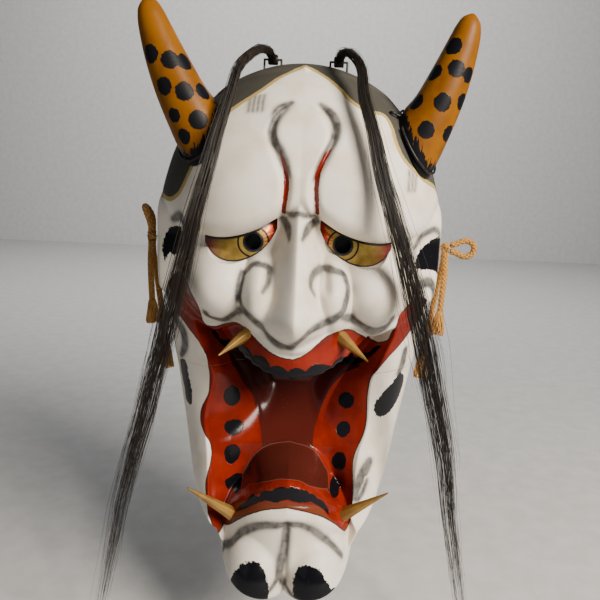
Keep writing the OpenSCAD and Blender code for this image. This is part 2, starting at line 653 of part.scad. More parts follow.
// Cords: a tie thread through the temple, the knot that swings on it, its loop, tails and tassels
ear_turn = 85;
ear_row = 254;
knot_gap = 0.8;
knot_flat = knot_w / 2 - 1.6;
stopper_w = 3;
function ear(side) = spot(side * ear_turn, ear_row);
function knot_at(side) = ear(side) + [side * (knot_w / 2 + knot_gap), 0, 0];
module ear_space(side) {
    translate(ear(side) - [side * 3 * wall, 0, 0]) rotate([0, side * 90, 0])
        cylinder(h = 6 * wall, d = ear_bore);
}
stopper_depth = 3.2;
stopper_in = 5.4;
module tie_thread(side) {
    inside = ear(side) - [side * (wall + stopper_in), 0, 0];
    outside = knot_at(side) + [side * (knot_flat - stopper_depth + stopper_w / 2), 0, 0];
    color("wheat") {
        translate(inside) sphere(d = ear_bore + 2);
        translate(inside) rotate([0, side * 90, 0]) cylinder(h = abs(outside[0] - inside[0]), d = thread_w);
        translate(outside) sphere(d = stopper_w);
    }
}
module cord_knot(side) {
    color("darkgoldenrod") difference() {
        intersection() {
            translate(knot_at(side)) sphere(d = knot_w);
            translate(knot_at(side) - [knot_w, knot_w, knot_flat])
                cube([2 * knot_w, 2 * knot_w, 2 * knot_flat]);
            translate(knot_at(side) - [knot_flat, knot_w, knot_w])
                cube([2 * knot_flat, 2 * knot_w, 2 * knot_w]);
        }
        translate(knot_at(side) - [knot_w, 0, 0]) rotate([0, 90, 0])
            cylinder(h = 2 * knot_w, d = thread_w + 2 * swing_gap);
        translate(knot_at(side) + [side * (knot_flat - stopper_depth - 0.3), 0, 0]) rotate([0, side * 90, 0])
            cylinder(h = knot_w, d = stopper_w + 0.6);
    }
}
cord_pair = cord_w / 2 + 0.15;
// Half of each loop, out from the knot: the right one lies flat to the wall, the left one stands edge on
loop_half = [
    [0, cord_pair], [2, cord_pair], [4.5, cord_pair + 0.8], [8, 5.4],
    [11.5, 6.4], [15, 5.7], [18, 3.4], [19, 0]
];
loop_line = concat(loop_half, [for (k = [len(loop_half) - 2:-1:0]) [loop_half[k][0], -loop_half[k][1]]]);
loop_lean = 0.02;
module cord_loop(side) {
    outer = knot_at(side) + [side * knot_flat, 0, 0];
    top = knot_at(side) + [0, 0, knot_flat];
    route = side == RIGHT ? [for (p = loop_line) outer + [p[0], 0, p[1]]]
        : [for (p = loop_line) top + [-loop_lean * pow(max(p[0] - 2.5, 0), 2), p[1], p[0]]];
    color("darkgoldenrod") tube(route, cord_w, cord_w, side == RIGHT ? [0, 1, 0] : [1, 0, 0], 10);
}
// Tails, down from the knot: place across (outwards), depth and drop
short_tail_line = [
    [0, -cord_pair, 0], [0, -cord_pair, -4], [0, -4.5, -12],
    [-0.5, -6.5, -22], [-1.5, -8.5, -34], [-2.5, -10, -46]
];
long_tail_line = [
    [0, cord_pair, 0], [0, cord_pair, -4], [-1, 3, -14], [-3, 3, -26], [-5, 2.5, -40], [-7, 2, -54],
    [-9, 1, -68], [-10, 0, -76]
];
function tail_line(long) = long ? long_tail_line : short_tail_line;
function tail_route(side, long) = [for (p = tail_line(long))
    knot_at(side) + [side * p[0], p[1], p[2] - knot_flat]];
module cord_tail(side, long) {
    color("darkgoldenrod") tube(tail_route(side, long), cord_w, cord_w, [0, 1, 0], 10);
}
short_tassel_len = 20;
long_tassel_len = 30;
module tassel(side, long) {
    route = tail_route(side, long);
    drop = long ? long_tassel_len : short_tassel_len;
    end = route[len(route) - 1];
    color("goldenrod") aim(end, end - route[len(route) - 2]) rotate_extrude()
        polygon([
            [0, 0], [cord_w / 2, 0], [cord_w / 2 + 1, 1.5], [tassel_w / 2 - 2, 0.4 * drop],
            [tassel_w / 2, 0.95 * drop], [tassel_w / 2 - 1, drop], [0, drop]
        ]);
}

// Pegs across the glue joint
peg_w = 4;
peg_len = 20;
peg_turn = 66;
module jaw_pegs(gap) {
    for (side = [LEFT, RIGHT]) {
        out = spot(side * peg_turn, seam_h);
        middle = [out[0] - side * 0.5 * wall, out[1] + 0.36 * wall, out[2]];
        translate(middle - [0, 0, peg_len / 2 + gap]) cylinder(h = peg_len + 2 * gap, d = peg_w + 2 * gap);
    }
}
module jaw_dowels() {
    color("burlywood") jaw_pegs(0);
}

module upper_face() {
    color("ivory") difference() {
        shell(seam_row, len(rows) - 1);
        for (side = [LEFT, RIGHT]) {
            eye_space(side, 0, eye_d + 4);
            horn_seat_cut(side);
            horn_dowel_space(side, peg_gap);
            fang_cut_space(side, true);
            staple_legs(side, peg_gap);
            ear_space(side);
        }
        jaw_pegs(peg_gap);
        translate([0, EPS, 0]) rotate([90, 0, 0]) cylinder(h = pin_depth + EPS, d = pin_bore);
    }
}

module lower_jaw() {
    color("firebrick") difference() {
        shell(0, seam_row);
        for (side = [LEFT, RIGHT]) fang_cut_space(side, false);
        jaw_pegs(peg_gap);
    }
}

upper_face();
lower_jaw();
jaw_dowels();
eye(LEFT);  // left_eye
eye(RIGHT);  // right_eye
horn(LEFT);  // left_horn
horn(RIGHT);  // right_horn
horn_dowel(LEFT);  // left_horn_dowel
horn_dowel(RIGHT);  // right_horn_dowel
horn_wire(LEFT);  // left_horn_wire
horn_wire(RIGHT);  // right_horn_wire
fang(LEFT, true);  // upper_left_fang
fang(RIGHT, true);  // upper_right_fang
fang(LEFT, false);  // lower_left_fang
fang(RIGHT, false);  // lower_right_fang
hair_lock(LEFT);  // left_hair_lock
hair_lock(RIGHT);  // right_hair_lock
hair_root(LEFT);  // left_hair_root
hair_root(RIGHT);  // right_hair_root
hair_staple(LEFT);  // left_hair_staple
hair_staple(RIGHT);  // right_hair_staple
cord_loop(LEFT);  // left_cord_loop
cord_loop(RIGHT);  // right_cord_loop
cord_knot(LEFT);  // left_cord_knot
cord_knot(RIGHT);  // right_cord_knot
cord_tail(LEFT, false);  // left_short_tail
cord_tail(RIGHT, false);  // right_short_tail
cord_tail(LEFT, true);  // left_long_tail
cord_tail(RIGHT, true);  // right_long_tail
tassel(LEFT, false);  // left_short_tassel
tassel(RIGHT, false);  // right_short_tassel
tassel(LEFT, true);  // left_long_tassel
tassel(RIGHT, true);  // right_long_tassel
tie_thread(LEFT);  // left_tie_thread
tie_thread(RIGHT);  // right_tie_thread
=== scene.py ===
# %% [markdown]
# # A horned demon mask for the noh stage
# The real mask is a hollow face of carved wood under chalk-white lacquer. It has gilt eye plates, painted
# horns, wooden fangs, two locks of hair and a braided cord at each ear. True sizes and joints come from
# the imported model. This lesson dresses that model: each step says what a piece is, how it could be made,
# and why this way.

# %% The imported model
import math

import bmesh
import bpy
import numpy as np
from mathutils import Matrix, Vector
from mathutils.kdtree import KDTree


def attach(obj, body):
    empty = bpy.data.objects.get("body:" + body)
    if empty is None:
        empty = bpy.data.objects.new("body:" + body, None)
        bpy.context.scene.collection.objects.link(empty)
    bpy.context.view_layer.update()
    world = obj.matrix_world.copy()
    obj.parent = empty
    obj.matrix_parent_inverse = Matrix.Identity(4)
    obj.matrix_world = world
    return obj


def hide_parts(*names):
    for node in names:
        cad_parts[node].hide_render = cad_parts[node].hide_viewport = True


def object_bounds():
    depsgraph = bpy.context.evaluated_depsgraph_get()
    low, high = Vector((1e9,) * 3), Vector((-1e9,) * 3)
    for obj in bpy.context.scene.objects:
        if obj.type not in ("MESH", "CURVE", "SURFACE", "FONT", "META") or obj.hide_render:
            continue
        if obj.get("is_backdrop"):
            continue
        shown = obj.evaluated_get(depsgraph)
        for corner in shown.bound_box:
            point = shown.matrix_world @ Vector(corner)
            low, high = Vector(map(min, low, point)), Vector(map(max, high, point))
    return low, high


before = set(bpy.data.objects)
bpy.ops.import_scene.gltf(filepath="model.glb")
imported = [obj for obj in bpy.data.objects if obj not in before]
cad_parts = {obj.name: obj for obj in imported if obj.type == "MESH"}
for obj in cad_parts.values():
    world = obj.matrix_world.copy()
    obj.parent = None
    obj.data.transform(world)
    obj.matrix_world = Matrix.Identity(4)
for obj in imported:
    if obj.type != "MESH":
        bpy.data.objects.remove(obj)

CAD_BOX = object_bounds()
MM = 0.001
# The pin hole's height above the chin in millimetres; the hole is the origin
PIN_H = 391.2
SIDES = {"left": -1, "right": 1}

# %% [markdown]
# ## Camera
# A mask is looked at from the front and a little from above. The camera stands half a metre away, tips
# down by ten degrees and leans slightly to one side. Its three axes are worked out from those two angles
# and put in a matrix, because a matrix has no doubt about the order of turns.

# %% Camera
PITCH, ROLL = math.radians(10.1), math.radians(2.4)
CAMERA_SPOT = (0.003, -0.502, -0.0962)


def linked(name, data):
    """A new object in the scene."""
    made = bpy.data.objects.new(name, data)
    bpy.context.collection.objects.link(made)
    return made


ahead = Vector((0, math.cos(PITCH), -math.sin(PITCH)))
level = Vector((1, 0, 0))
upright = level.cross(ahead)
cam_right = math.cos(ROLL) * level + math.sin(ROLL) * upright
cam_up = math.cos(ROLL) * upright - math.sin(ROLL) * level
lens = bpy.data.cameras.new("mask_lens")
lens.lens = lens.sensor_width = 36
camera = linked("mask_camera", lens)
turned = Matrix((cam_right, cam_up, -ahead)).transposed().to_4x4()
camera.matrix_world = Matrix.Translation(CAMERA_SPOT) @ turned
bpy.context.scene.camera = camera
print("camera at", [round(x, 4) for x in camera.matrix_world.translation])

# %% [markdown]
# ## Tools for cords and threads
# A cord is a line that bends smoothly, so its few chosen points are joined by a curve and cut again in
# even steps. Threads are Blender curves with a round bevel. They are turned into meshes at once, so that a
# hundred threads become one piece.

# %% Lines and threads
ODD_WAY = (0.31, 0.52, 0.8)


def steps_of(line):
    return np.linalg.norm(np.diff(line, axis=0), axis=1)


def run_of(line):
    """How far along the line each of its points lies."""
    return np.r_[0, np.cumsum(steps_of(line))]


def length_of(line):
    return float(steps_of(line).sum())


def through(points, step):
    """A smooth line through the points, in even steps."""
    p = np.array(points, float)
    mark = run_of(p)
    slope = np.gradient(p, mark, axis=0)
    fine = np.linspace(0, mark[-1], 30 * len(p))
    k = np.clip(np.searchsorted(mark, fine, side="right") - 1, 0, len(p) - 2)
    w = (mark[k + 1] - mark[k])[:, None]
    s = (fine - mark[k])[:, None] / w
    line = ((1 + 2 * s) * (1 - s) ** 2 * p[k] + s * s * (3 - 2 * s) * p[k + 1]
            + s * (1 - s) * w * ((1 - s) * slope[k] - s * slope[k + 1]))
    run = run_of(line)
    even = np.linspace(0, run[-1], max(3, int(round(run[-1] / step)) + 1))
    return np.stack([np.interp(even, run, line[:, i]) for i in range(p.shape[1])], axis=1)


def unit(v):
    return v / np.linalg.norm(v, axis=-1, keepdims=True)


def across(line):
    """Two directions square to the line at each point, carried along it without a twist.

    The first pair starts from an odd direction that no cord runs in.
    """
    along = unit(np.gradient(line, axis=0))
    side = np.zeros_like(line)
    side[0] = unit(np.cross(along[0], ODD_WAY))
    for k in range(1, len(line)):
        side[k] = unit(side[k - 1] - along[k] * (side[k - 1] @ along[k]))
    return side, np.cross(along, side)


def evaluated(maker):
    """A mesh of what an object shows, with its modifiers and bevels worked out."""
    return bpy.data.meshes.new_from_object(maker.evaluated_get(bpy.context.evaluated_depsgraph_get()))


def threads_mesh(name, threads, radius, sides=1, taper=None):
    """One mesh of round threads, given in millimetres."""
    curve_data = bpy.data.curves.new(name, "CURVE")
    curve_data.dimensions = "3D"
    curve_data.bevel_depth = radius * MM
    curve_data.bevel_resolution = sides
    curve_data.use_fill_caps = True
    for points in threads:
        spline = curve_data.splines.new("POLY")
        spline.points.add(len(points) - 1)
        spline.points.foreach_set("co", np.c_[points * MM, np.ones(len(points))].ravel())
        if taper is not None:
            spline.points.foreach_set("radius", np.interp(np.linspace(0, 1, len(points)), *taper))
    maker = linked(name, curve_data)
    mesh = evaluated(maker)
    bpy.data.objects.remove(maker)
    bpy.data.curves.remove(curve_data)
    mesh.shade_smooth()
    return mesh


def mesh_from(bm, name):
    """The finished mesh of a bmesh, which is freed."""
    mesh = bpy.data.meshes.new(name)
    bm.to_mesh(mesh)
    bm.free()
    return mesh


def smooth_from(bm, name):
    """The same, with its faces turned outwards and shaded smooth."""
    bmesh.ops.recalc_face_normals(bm, faces=bm.faces[:])
    mesh = mesh_from(bm, name)
    mesh.shade_smooth()
    return mesh


def place(name, mesh, body, slot, *nodes):
    """A piece in the scene: it rides on a body and stands for CAD nodes. The slot is not used."""
    mesh.name = name
    piece = linked(name, mesh)
    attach(piece, body)
    if nodes:
        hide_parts(*nodes)
    print(name, "faces:", len(mesh.polygons))
    return piece


# %% [markdown]
# ## Cords at the ears
# A round braid of eight strands is knotted at each temple. It makes one loop and two tails that end in
# tassels. In a round braid four strands wind one way and four the other, and they take turns to lie on
# top. So each strand is a helix whose radius swings in and out, and the two ways swing against each other.

# %% Braids, loops and tails
CORD_W, KNOT_FLAT, PAIR = 5.5, 4.4, 2.9
KNOT_MIDDLE = np.array([118.848, -15.222, -135.122])
LAY_LENGTH, STRAND_OUT, STRAND_SWING, STRAND_R = 2.6, 0.25, 0.075, 0.18
LEFT_LOOP_LEAN = 0.02
LOOP_HALF = [(0, PAIR), (2, PAIR), (4.5, 3.7), (8, 5.4), (11.5, 6.4), (15, 5.7), (18, 3.4), (19, 0)]
LOOP_LINE = LOOP_HALF + [(p, -q) for p, q in LOOP_HALF[-2::-1]]
TAILS = {
    "short": [(0, -PAIR, 0), (0, -PAIR, -4), (0, -4.5, -12), (-0.5, -6.5, -22), (-1.5, -8.5, -34),
              (-2.5, -10, -46)],
    "long": [(0, PAIR, 0), (0, PAIR, -4), (-1, 3, -14), (-3, 3, -26), (-5, 2.5, -40), (-7, 2, -54),
             (-9, 1, -68), (-10, 0, -76)],
}


def knot_middle(side):
    return KNOT_MIDDLE * (side, 1, 1)


def loop_route(side):
    if side > 0:
        return [knot_middle(side) + (KNOT_FLAT + p, 0, q) for p, q in LOOP_LINE]
    return [knot_middle(side) + (-LEFT_LOOP_LEAN * max(p - 2.5, 0) ** 2, q, KNOT_FLAT + p)
            for p, q in LOOP_LINE]


def tail_route(side, kind):
    return [knot_middle(side) + (side * p, q, r - KNOT_FLAT) for p, q, r in TAILS[kind]]


def braid(name, line, width):
    """Eight strands round a line; their sizes are shares of the cord's width."""
    first, second = across(line)
    run = run_of(line)
    phase = (2 * np.pi * run / (LAY_LENGTH * width))[:, None]
    strands = []
    for way in (1, -1):
        radius = width * (STRAND_OUT + way * STRAND_SWING * np.sin(4 * phase))
        for k in range(4):
            turn = way * phase + (k + 0.25 * (1 - way)) * np.pi / 2
            strands.append(line + radius * (np.cos(turn) * first + np.sin(turn) * second))
    return threads_mesh(name, strands, STRAND_R * width)


BRAID_STEP, ROUTE_STEP = 0.6, 2.0
cord_pieces, knot_pieces = [], {}
for word, side in SIDES.items():
    for kind, route in [("loop", loop_route(side))] + [(k, tail_route(side, k)) for k in TAILS]:
        node = f"{word}_cord_loop" if kind == "loop" else f"{word}_{kind}_tail"
        mesh = braid(node, through(route, BRAID_STEP), CORD_W)
        piece = place(f"{node}_braid", mesh, f"{word}_cord", "cord_braid", node)
        cord_pieces.append((piece, word, kind, through(route, ROUTE_STEP)))

# %% [markdown]
# ## Knots
# The knot that closes the loop is a plain overhand knot, and a drawn-up overhand knot has the shape of a
# trefoil. The same braid runs along a small trefoil that stands edge on to the temple.

# %% Knots
KNOT_SCALE, KNOT_CORD = 1.27, 4.6
turn = np.linspace(0, 2 * np.pi, 121)
trefoil = np.stack([-np.sin(3 * turn), np.sin(turn) + 2 * np.sin(2 * turn),
                    np.cos(turn) - 2 * np.cos(2 * turn)], axis=1)
for word, side in SIDES.items():
    line = knot_middle(side) + KNOT_SCALE * trefoil
    mesh = braid("knot", line, KNOT_CORD)
    knot_pieces[word] = place(f"{word}_knot_braid", mesh, f"{word}_cord", "cord_braid", f"{word}_cord_knot")

# %% [markdown]
# ## Tassels
# Each tail ends where its braid is bound with thread and combed out. Ninety yarns start inside the braid's
# width and flare to the tassel's foot. A golden angle spreads them evenly, and seeded noise keeps them
# from looking like a brush.

# %% Tassels
TASSEL_LEN = {"short": 20, "long": 30}
TASSEL_R, YARNS, GOLDEN = 6.5, 90, 2.39996
YARN_R, YARN_START, YARN_FLARE = 0.42, 2.3, TASSEL_R - 3.2
BINDING_TURNS, BINDING_PITCH, BINDING_START = 4, 0.085, 1.0
tassel_pieces = {}
for word, side in SIDES.items():
    for kind, drop in TASSEL_LEN.items():
        chance = np.random.default_rng(drop + side)
        route = np.array(tail_route(side, kind))
        down = unit(route[-1] - route[-2])
        first, second = (v[0] for v in across(np.array([route[-1], route[-1] + down])))
        share = np.linspace(0, 1, 10)[:, None]
        yarns = []
        for k in range(YARNS):
            spread = math.sqrt((k + 0.5) / YARNS)
            angle = GOLDEN * k
            radius = spread * (YARN_START + YARN_FLARE * share ** 0.7 * chance.uniform(0.85, 1.1))
            sway = 0.5 * share * np.sin(2 * np.pi * (chance.uniform(0.8, 1.6) * share + chance.random()))
            turn = angle + sway * 0.6
            fall = share * drop * chance.uniform(0.86, 0.985)
            ray = np.cos(turn) * first + np.sin(turn) * second
            yarns.append(route[-1] + down * fall + (radius + 0.3 * sway) * ray)
        wind = np.linspace(0, BINDING_TURNS * 2 * np.pi, 81)[:, None]
        yarns.append(route[-1] + down * (BINDING_START + BINDING_PITCH * wind)
                     + (CORD_W / 2 + 0.1) * (np.cos(wind) * first + np.sin(wind) * second))
        mesh = threads_mesh("yarn", yarns, YARN_R)
        name = f"{word}_{kind}_tassel"
        tassel_pieces[word, kind] = place(f"{name}_yarn", mesh, f"{word}_cord", "tassel_fringe", name)

# %% [markdown]
# Each cord's length is printed. A loop leaves its knot and comes back to it, and a tail hangs from the knot
# with its tassel.

for piece, word, kind, line in cord_pieces:
    print(piece.name, "length in mm:", round(length_of(line), 1))

# %% [markdown]
# ## The carved relief
# The face is one surface. Each point of it is named by a turn round the head, from -90 to 90 degrees, and
# a row above the chin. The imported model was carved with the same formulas, so the surface here lies on it,
# only with many more points. A sculpted mesh could show as much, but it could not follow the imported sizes.

# %% Small carving tools
FACE_H, FACE_W, FACE_D = 396, 224, 88
CHIN_W, CROWN_W, WALL, SEAM_H = 96, 104, 8, 162
BROW_H, BROW_ROLL, BROW_SWELL, GROOVE_DEPTH = 280, 13, 10, 4
NOSE_H, NOSE_D, WING_X, WING_D = 210, 131, 25, 111
CHEEK_X, CHEEK_R, CHEEK_D = 53, 22, 101
LIP_H, LIP_D, GUM_H, MOUTH_W, THROAT_W, THROAT_DROP, TONGUE_D = 188, 105, 21, 120, 49, 34, 103
JAW_LIP_H, JAW_LIP_D, CHIN_D = 77, 115, 126
LEFT_REACH, RIGHT_REACH = 7.5, 3.5
MOUTH_TURN, SQUARENESS, END_BLEND, RIM_FLARE, ROW_STEP = 40.5, 0.75, 60, 0.25, 6.5
AT_MOUTH = math.sin(math.radians(MOUTH_TURN))


def ease(a, b, t):
    s = np.clip((t - a) / (b - a), 0, 1)
    return s * s * (3 - 2 * s)


def mix(a, b, s):
    return a * (1 - s) + b * s


def ridge(d, r):
    return np.exp(-(d / r) ** 2)


def soft_max(a, b, r):
    s = np.clip(0.5 + 0.5 * (a - b) / r, 0, 1)
    return mix(b, a, s) + r * s * (1 - s)


def mound(u, v, peak, drop, power):
    return peak - drop * (u * u + v * v) ** (power / 2)


def curve(points, t):
    """A smooth curve through (place, value) points."""
    p = np.array(points, float)
    c = np.clip(t, p[0, 0], p[-1, 0])
    k = np.clip(np.searchsorted(p[:, 0], c, side="right") - 1, 0, len(p) - 2)
    after = np.minimum(np.arange(len(p)) + 1, len(p) - 1)
    before = np.maximum(np.arange(len(p)) - 1, 0)
    slope = (p[after, 1] - p[before, 1]) / (p[after, 0] - p[before, 0])
    w = p[k + 1, 0] - p[k, 0]
    s = (c - p[k, 0]) / w
    return (mix(p[k, 1], p[k + 1, 1], s * s * (3 - 2 * s))
            + w * s * (1 - s) * (slope[k] * (1 - s) - slope[k + 1] * s))


# %% Lines of the face
HALF_W, HALF_MOUTH, HALF_THROAT = FACE_W / 2, MOUTH_W / 2, THROAT_W / 2
RIM_HALF = [(0, CHIN_W / 2), (40, CHIN_W / 2 + 20), (80, CHIN_W / 2 + 34), (120, HALF_W - 20),
            (160, HALF_W - 13), (200, HALF_W - 6), (240, HALF_W), (280, HALF_W - 1),
            (FACE_H - 74, HALF_W - 10), (FACE_H - 44, CROWN_W / 2 + 37),
            (FACE_H - 20, CROWN_W / 2 + 19), (FACE_H, CROWN_W / 2)]
RIM_HEIGHT = [(0, 30), (40, 58), (80, 92), (120, 126), (SEAM_H, SEAM_H), (200, 200), (280, 280),
              (FACE_H - 74, FACE_H - 77), (FACE_H - 44, FACE_H - 52),
              (FACE_H - 20, FACE_H - 33), (FACE_H, FACE_H - 19)]
SHELL_DEPTH = [(0, 0), (5, CHIN_D - 36), (16, CHIN_D - 12), (38, JAW_LIP_D - 3), (60, JAW_LIP_D - 5),
               (77, JAW_LIP_D - 11), (97, FACE_D + 2), (118, FACE_D - 9), (140, FACE_D - 12),
               (170, FACE_D - 10), (210, FACE_D - 4), (250, FACE_D), (290, FACE_D + 2),
               (FACE_H - 74, FACE_D - 1), (FACE_H - 48, FACE_D - 11), (FACE_H - 27, FACE_D - 28),
               (FACE_H - 12, FACE_D - 50), (FACE_H - 4, FACE_D - 70), (FACE_H, 0)]
BROW_LINE = [(0, BROW_H + 2), (12, BROW_H - 2), (29, BROW_H - 12), (48, BROW_H - 18), (66, BROW_H - 18),
             (92, BROW_H - 10), (112, BROW_H + 12)]
LID_LINE = [(12, BROW_H - 4), (20, BROW_H - 20), (33, BROW_H - 31), (48, BROW_H - 35), (60, BROW_H - 31),
            (69, BROW_H - 20)]
LIP_LINE = [(0, LIP_H), (10, LIP_H + 2), (22, LIP_H + 9.5), (39, LIP_H + 16), (50, LIP_H + 11),
            (58, LIP_H + 7), (66, LIP_H + 9), (85, LIP_H + 20), (100, LIP_H + 30), (112, LIP_H + 38)]
TEETH_H = LIP_H - GUM_H
TEETH_LINE = [(0, TEETH_H), (20, TEETH_H + 3), (35, TEETH_H + 10), (48, TEETH_H + 19), (60, TEETH_H + 27),
              (72, TEETH_H + 34)]
JAW_LIP_LINE = [(0, JAW_LIP_H), (20, JAW_LIP_H - 4), (35, JAW_LIP_H - 13), (46, JAW_LIP_H - 24),
                (56, JAW_LIP_H - 37)]
MOUTH_HALF = [(row, HALF_MOUTH + out) for row, out in [
    (0, -26), (30, -13), (45, -9), (60, -7), (75, -8), (90, -6), (105, -4), (120, -0.5), (150, 0), (163, 3),
    (182, 16), (200, 28)]]
THROAT_HALF = [(row, HALF_THROAT + out) for row, out in [
    (70, 15), (85, 8), (100, 2.5), (112, 0), (125, 2.5), (140, 8), (160, 19), (190, 41)]]
GROOVE_HALF = [(BROW_H - 8, 13), (BROW_H + 2, 11.5), (BROW_H + 12, 9.5), (BROW_H + 24, 9.5),
               (BROW_H + 38, 15.5), (BROW_H + 53, 21), (BROW_H + 64, 18), (BROW_H + 72, 12), (BROW_H + 77, 7)]
NOSE_RIDGE = [(NOSE_H + up, NOSE_D - back) for up, back in [
    (-30, 39), (-20, 27), (-14, 16), (-8, 6), (0, 0), (8, 1), (22, 9), (40, 19), (58, 30), (72, 37), (86, 47),
    (100, 90)]]
NOSE_HALF = [(NOSE_H - 20, 13), (NOSE_H - 5, 14), (NOSE_H + 10, 12), (NOSE_H + 35, 10), (NOSE_H + 60, 9)]
EYE_HOLLOW = [(LIP_H - 3, FACE_D - 8), (LIP_H + 27, FACE_D - 3), (BROW_H - 40, FACE_D - 8),
              (BROW_H - 22, FACE_D - 11), (BROW_H + 5, FACE_D - 12), (BROW_H + 20, FACE_D - 50)]

# %% [markdown]
# The relief is built from simple forms: a brow with two grooves, a nose with wings, cheeks, lips, a
# throat, a tongue and a chin. Where two forms meet, the deeper one wins with a soft joint, as clay does
# under a thumb.

# %% Forms of the face


def brow_depth(a, h, plain):
    swell = BROW_SWELL * ridge((a - 50) / 46, 1) * ridge((h - BROW_H - 12) / 38, 1)
    active = ease(BROW_H - 10, BROW_H, h) * (1 - ease(BROW_H + 69, BROW_H + 76, h))
    aside = a - curve(GROOVE_HALF, h)
    cut = GROOVE_DEPTH * ridge(aside, 3) * active
    bulb = 0.4 * GROOVE_DEPTH * (1 - ease(-4, 2, aside)) * active
    above = h - curve(BROW_LINE, a)
    turn = np.clip((BROW_ROLL - above) / BROW_ROLL, 0, 1)
    roll = BROW_ROLL * (1 - np.sqrt(1 - 0.96 * turn * turn)) + 2.5 * np.maximum(0, -above)
    return plain + swell + bulb - cut - roll


def upper_depth(a, h, plain):
    hollow = curve(EYE_HOLLOW, h) - 0.0042 * np.maximum(a - 15, 0) ** 2
    cheek = mound((a - CHEEK_X) / CHEEK_R, (h - LIP_H - 40) / CHEEK_R, CHEEK_D, 15, 2.4)
    wing = mound((a - WING_X) / 14, (h - NOSE_H - 12) / 24, WING_D, 17, 2.4)
    nose = curve(NOSE_RIDGE, h) - 13 * (a / curve(NOSE_HALF, h)) ** 1.45
    curl = (GROOVE_DEPTH * ridge(a - WING_X + 5, 3) * ease(NOSE_H + 16, NOSE_H + 23, h)
            * (1 - ease(NOSE_H + 33, NOSE_H + 40, h)))
    lip = LIP_D - 0.0118 * a * a - 0.1 * np.maximum(h - curve(LIP_LINE, a) - 4, 0) ** 1.5
    round_forms = soft_max(soft_max(soft_max(hollow, cheek, 4), lip, 5), wing, 3.5)
    return soft_max(soft_max(round_forms, nose, 5) - curl, brow_depth(a, h, plain), 3)


def chin_depth(a, h):
    above = h - curve(JAW_LIP_LINE, a)
    gum = JAW_LIP_D - 4 - 0.013 * a * a - 6 * np.maximum(above - np.maximum(16 - 0.011 * a * a, 7), 0)
    plain = JAW_LIP_D - 0.0125 * a * a - 0.035 * np.maximum(26 - h, 0) ** 2
    lobe = mound((a - 21) / 21, (h - 16) / 30, CHIN_D, 15, 2.4)
    cleft = 2.6 * ridge(a, 2.6) * ease(2, 10, h) * (1 - ease(60, 72, h))
    lip_roll = 1.6 * ridge(above + 6, 5)
    front = mix(soft_max(plain, lobe, 4) - cleft + lip_roll, gum, ease(-1.5, 1.5, above))
    return front - 0.05 * np.maximum(a - 38, 0) ** 2


def lower_depth(a, h, plain, edge, brim):
    inset = edge - a
    throat = curve(THROAT_HALF, h)
    slope = np.clip(inset / np.maximum(edge - throat, 1), 0, 1) ** 1.5
    flank = brim - 1.2 * ease(0, 3, inset) - THROAT_DROP * (0.58 * slope + 0.42 * ease(0, 20, throat - a))
    bed = np.where(inset > 0, flank, plain)
    over_teeth = h - curve(TEETH_LINE, a)
    gum = LIP_D - 3.5 - 0.0125 * a * a - 1.5 * ease(8, 3, over_teeth) - 7 * np.maximum(-over_teeth, 0)
    with_gum = np.where(inset > -6, soft_max(bed, gum, 3), bed)
    root = TONGUE_D - 43 - 0.95 * np.maximum(h - JAW_LIP_H - 25, 0)
    tongue = mound(a / 30, (h - JAW_LIP_H - 3) / 22.5, TONGUE_D, 38, 2.6)
    with_tongue = np.where(inset > 0, soft_max(soft_max(with_gum, root, 7), tongue, 3), with_gum)
    return soft_max(with_tongue, chin_depth(a, h), 4)


def mouth_edge(turn, row):
    """Half width of the mouth, which sits a little to the left low down."""
    left = LEFT_REACH * ease(45, 75, row) * (1 - ease(118, 158, row))
    right = -RIGHT_REACH * ease(50, 78, row) * (1 - ease(98, 128, row))
    drawn = curve(MOUTH_HALF, row) + np.where(np.asarray(turn) < 0, left, right)
    return mix(drawn, curve(RIM_HALF, row) * AT_MOUTH, ease(170, 215, row))


def skin(turn, row):
    """Place across, depth and height above the chin of a point on the face."""
    cos = np.clip(np.cos(np.radians(turn)), 0, 1)
    out = np.abs(np.sin(np.radians(turn)))
    half, rim = curve(RIM_HALF, row), curve(RIM_HEIGHT, row)
    edge = mouth_edge(turn, row)
    beyond = edge + (half - edge) * (out - AT_MOUTH) / (1 - AT_MOUTH)
    a = np.where(out <= AT_MOUTH, edge * out / AT_MOUTH, beyond)
    follow = (ridge(row - JAW_LIP_H, 30) * (curve(JAW_LIP_LINE, np.minimum(a, 46)) - JAW_LIP_H)
              + ridge(row - LIP_H, 26) * (curve(LIP_LINE, np.minimum(a, 72)) - LIP_H)
              + ridge(row - BROW_H, 24) * (curve(BROW_LINE, a) - BROW_H))
    h = mix(rim, row, cos ** 1.5) + follow * (1 - ridge(row - SEAM_H, 8)) * cos ** 0.3
    plain = curve(SHELL_DEPTH, row) * cos ** SQUARENESS
    brim = curve(SHELL_DEPTH, row) * math.cos(math.radians(MOUTH_TURN)) ** SQUARENESS
    over_lip = ease(-5, 0, h - curve(LIP_LINE, a))
    at_cheek = 1 - ease(-2, 6, a - edge) * (1 - ease(LIP_H + 8, LIP_H + 28, h))
    carved = mix(lower_depth(a, h, plain, edge, brim), upper_depth(a, h, plain), over_lip * at_cheek)
    share = ease(0.05, 0.34, cos) * ease(0, 14, row) * ease(0, 16, FACE_H - row)
    return np.sign(turn) * a, mix(plain, carved, share), h


def on_skin(turn, row):
    """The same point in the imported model's frame, in millimetres."""
    x, depth, h = skin(np.asarray(turn, float), np.asarray(row, float))
    return np.stack([x, -depth, h - PIN_H], axis=-1)


def outward(turn, row):
    """The way the skin faces at a point."""
    sideways = on_skin(turn + 1, row) - on_skin(turn - 1, row)
    upwards = on_skin(turn, row + 2) - on_skin(turn, row - 2)
    return unit(np.cross(sideways, upwards))


print("nose tip:", np.round(on_skin(0, NOSE_H), 1))

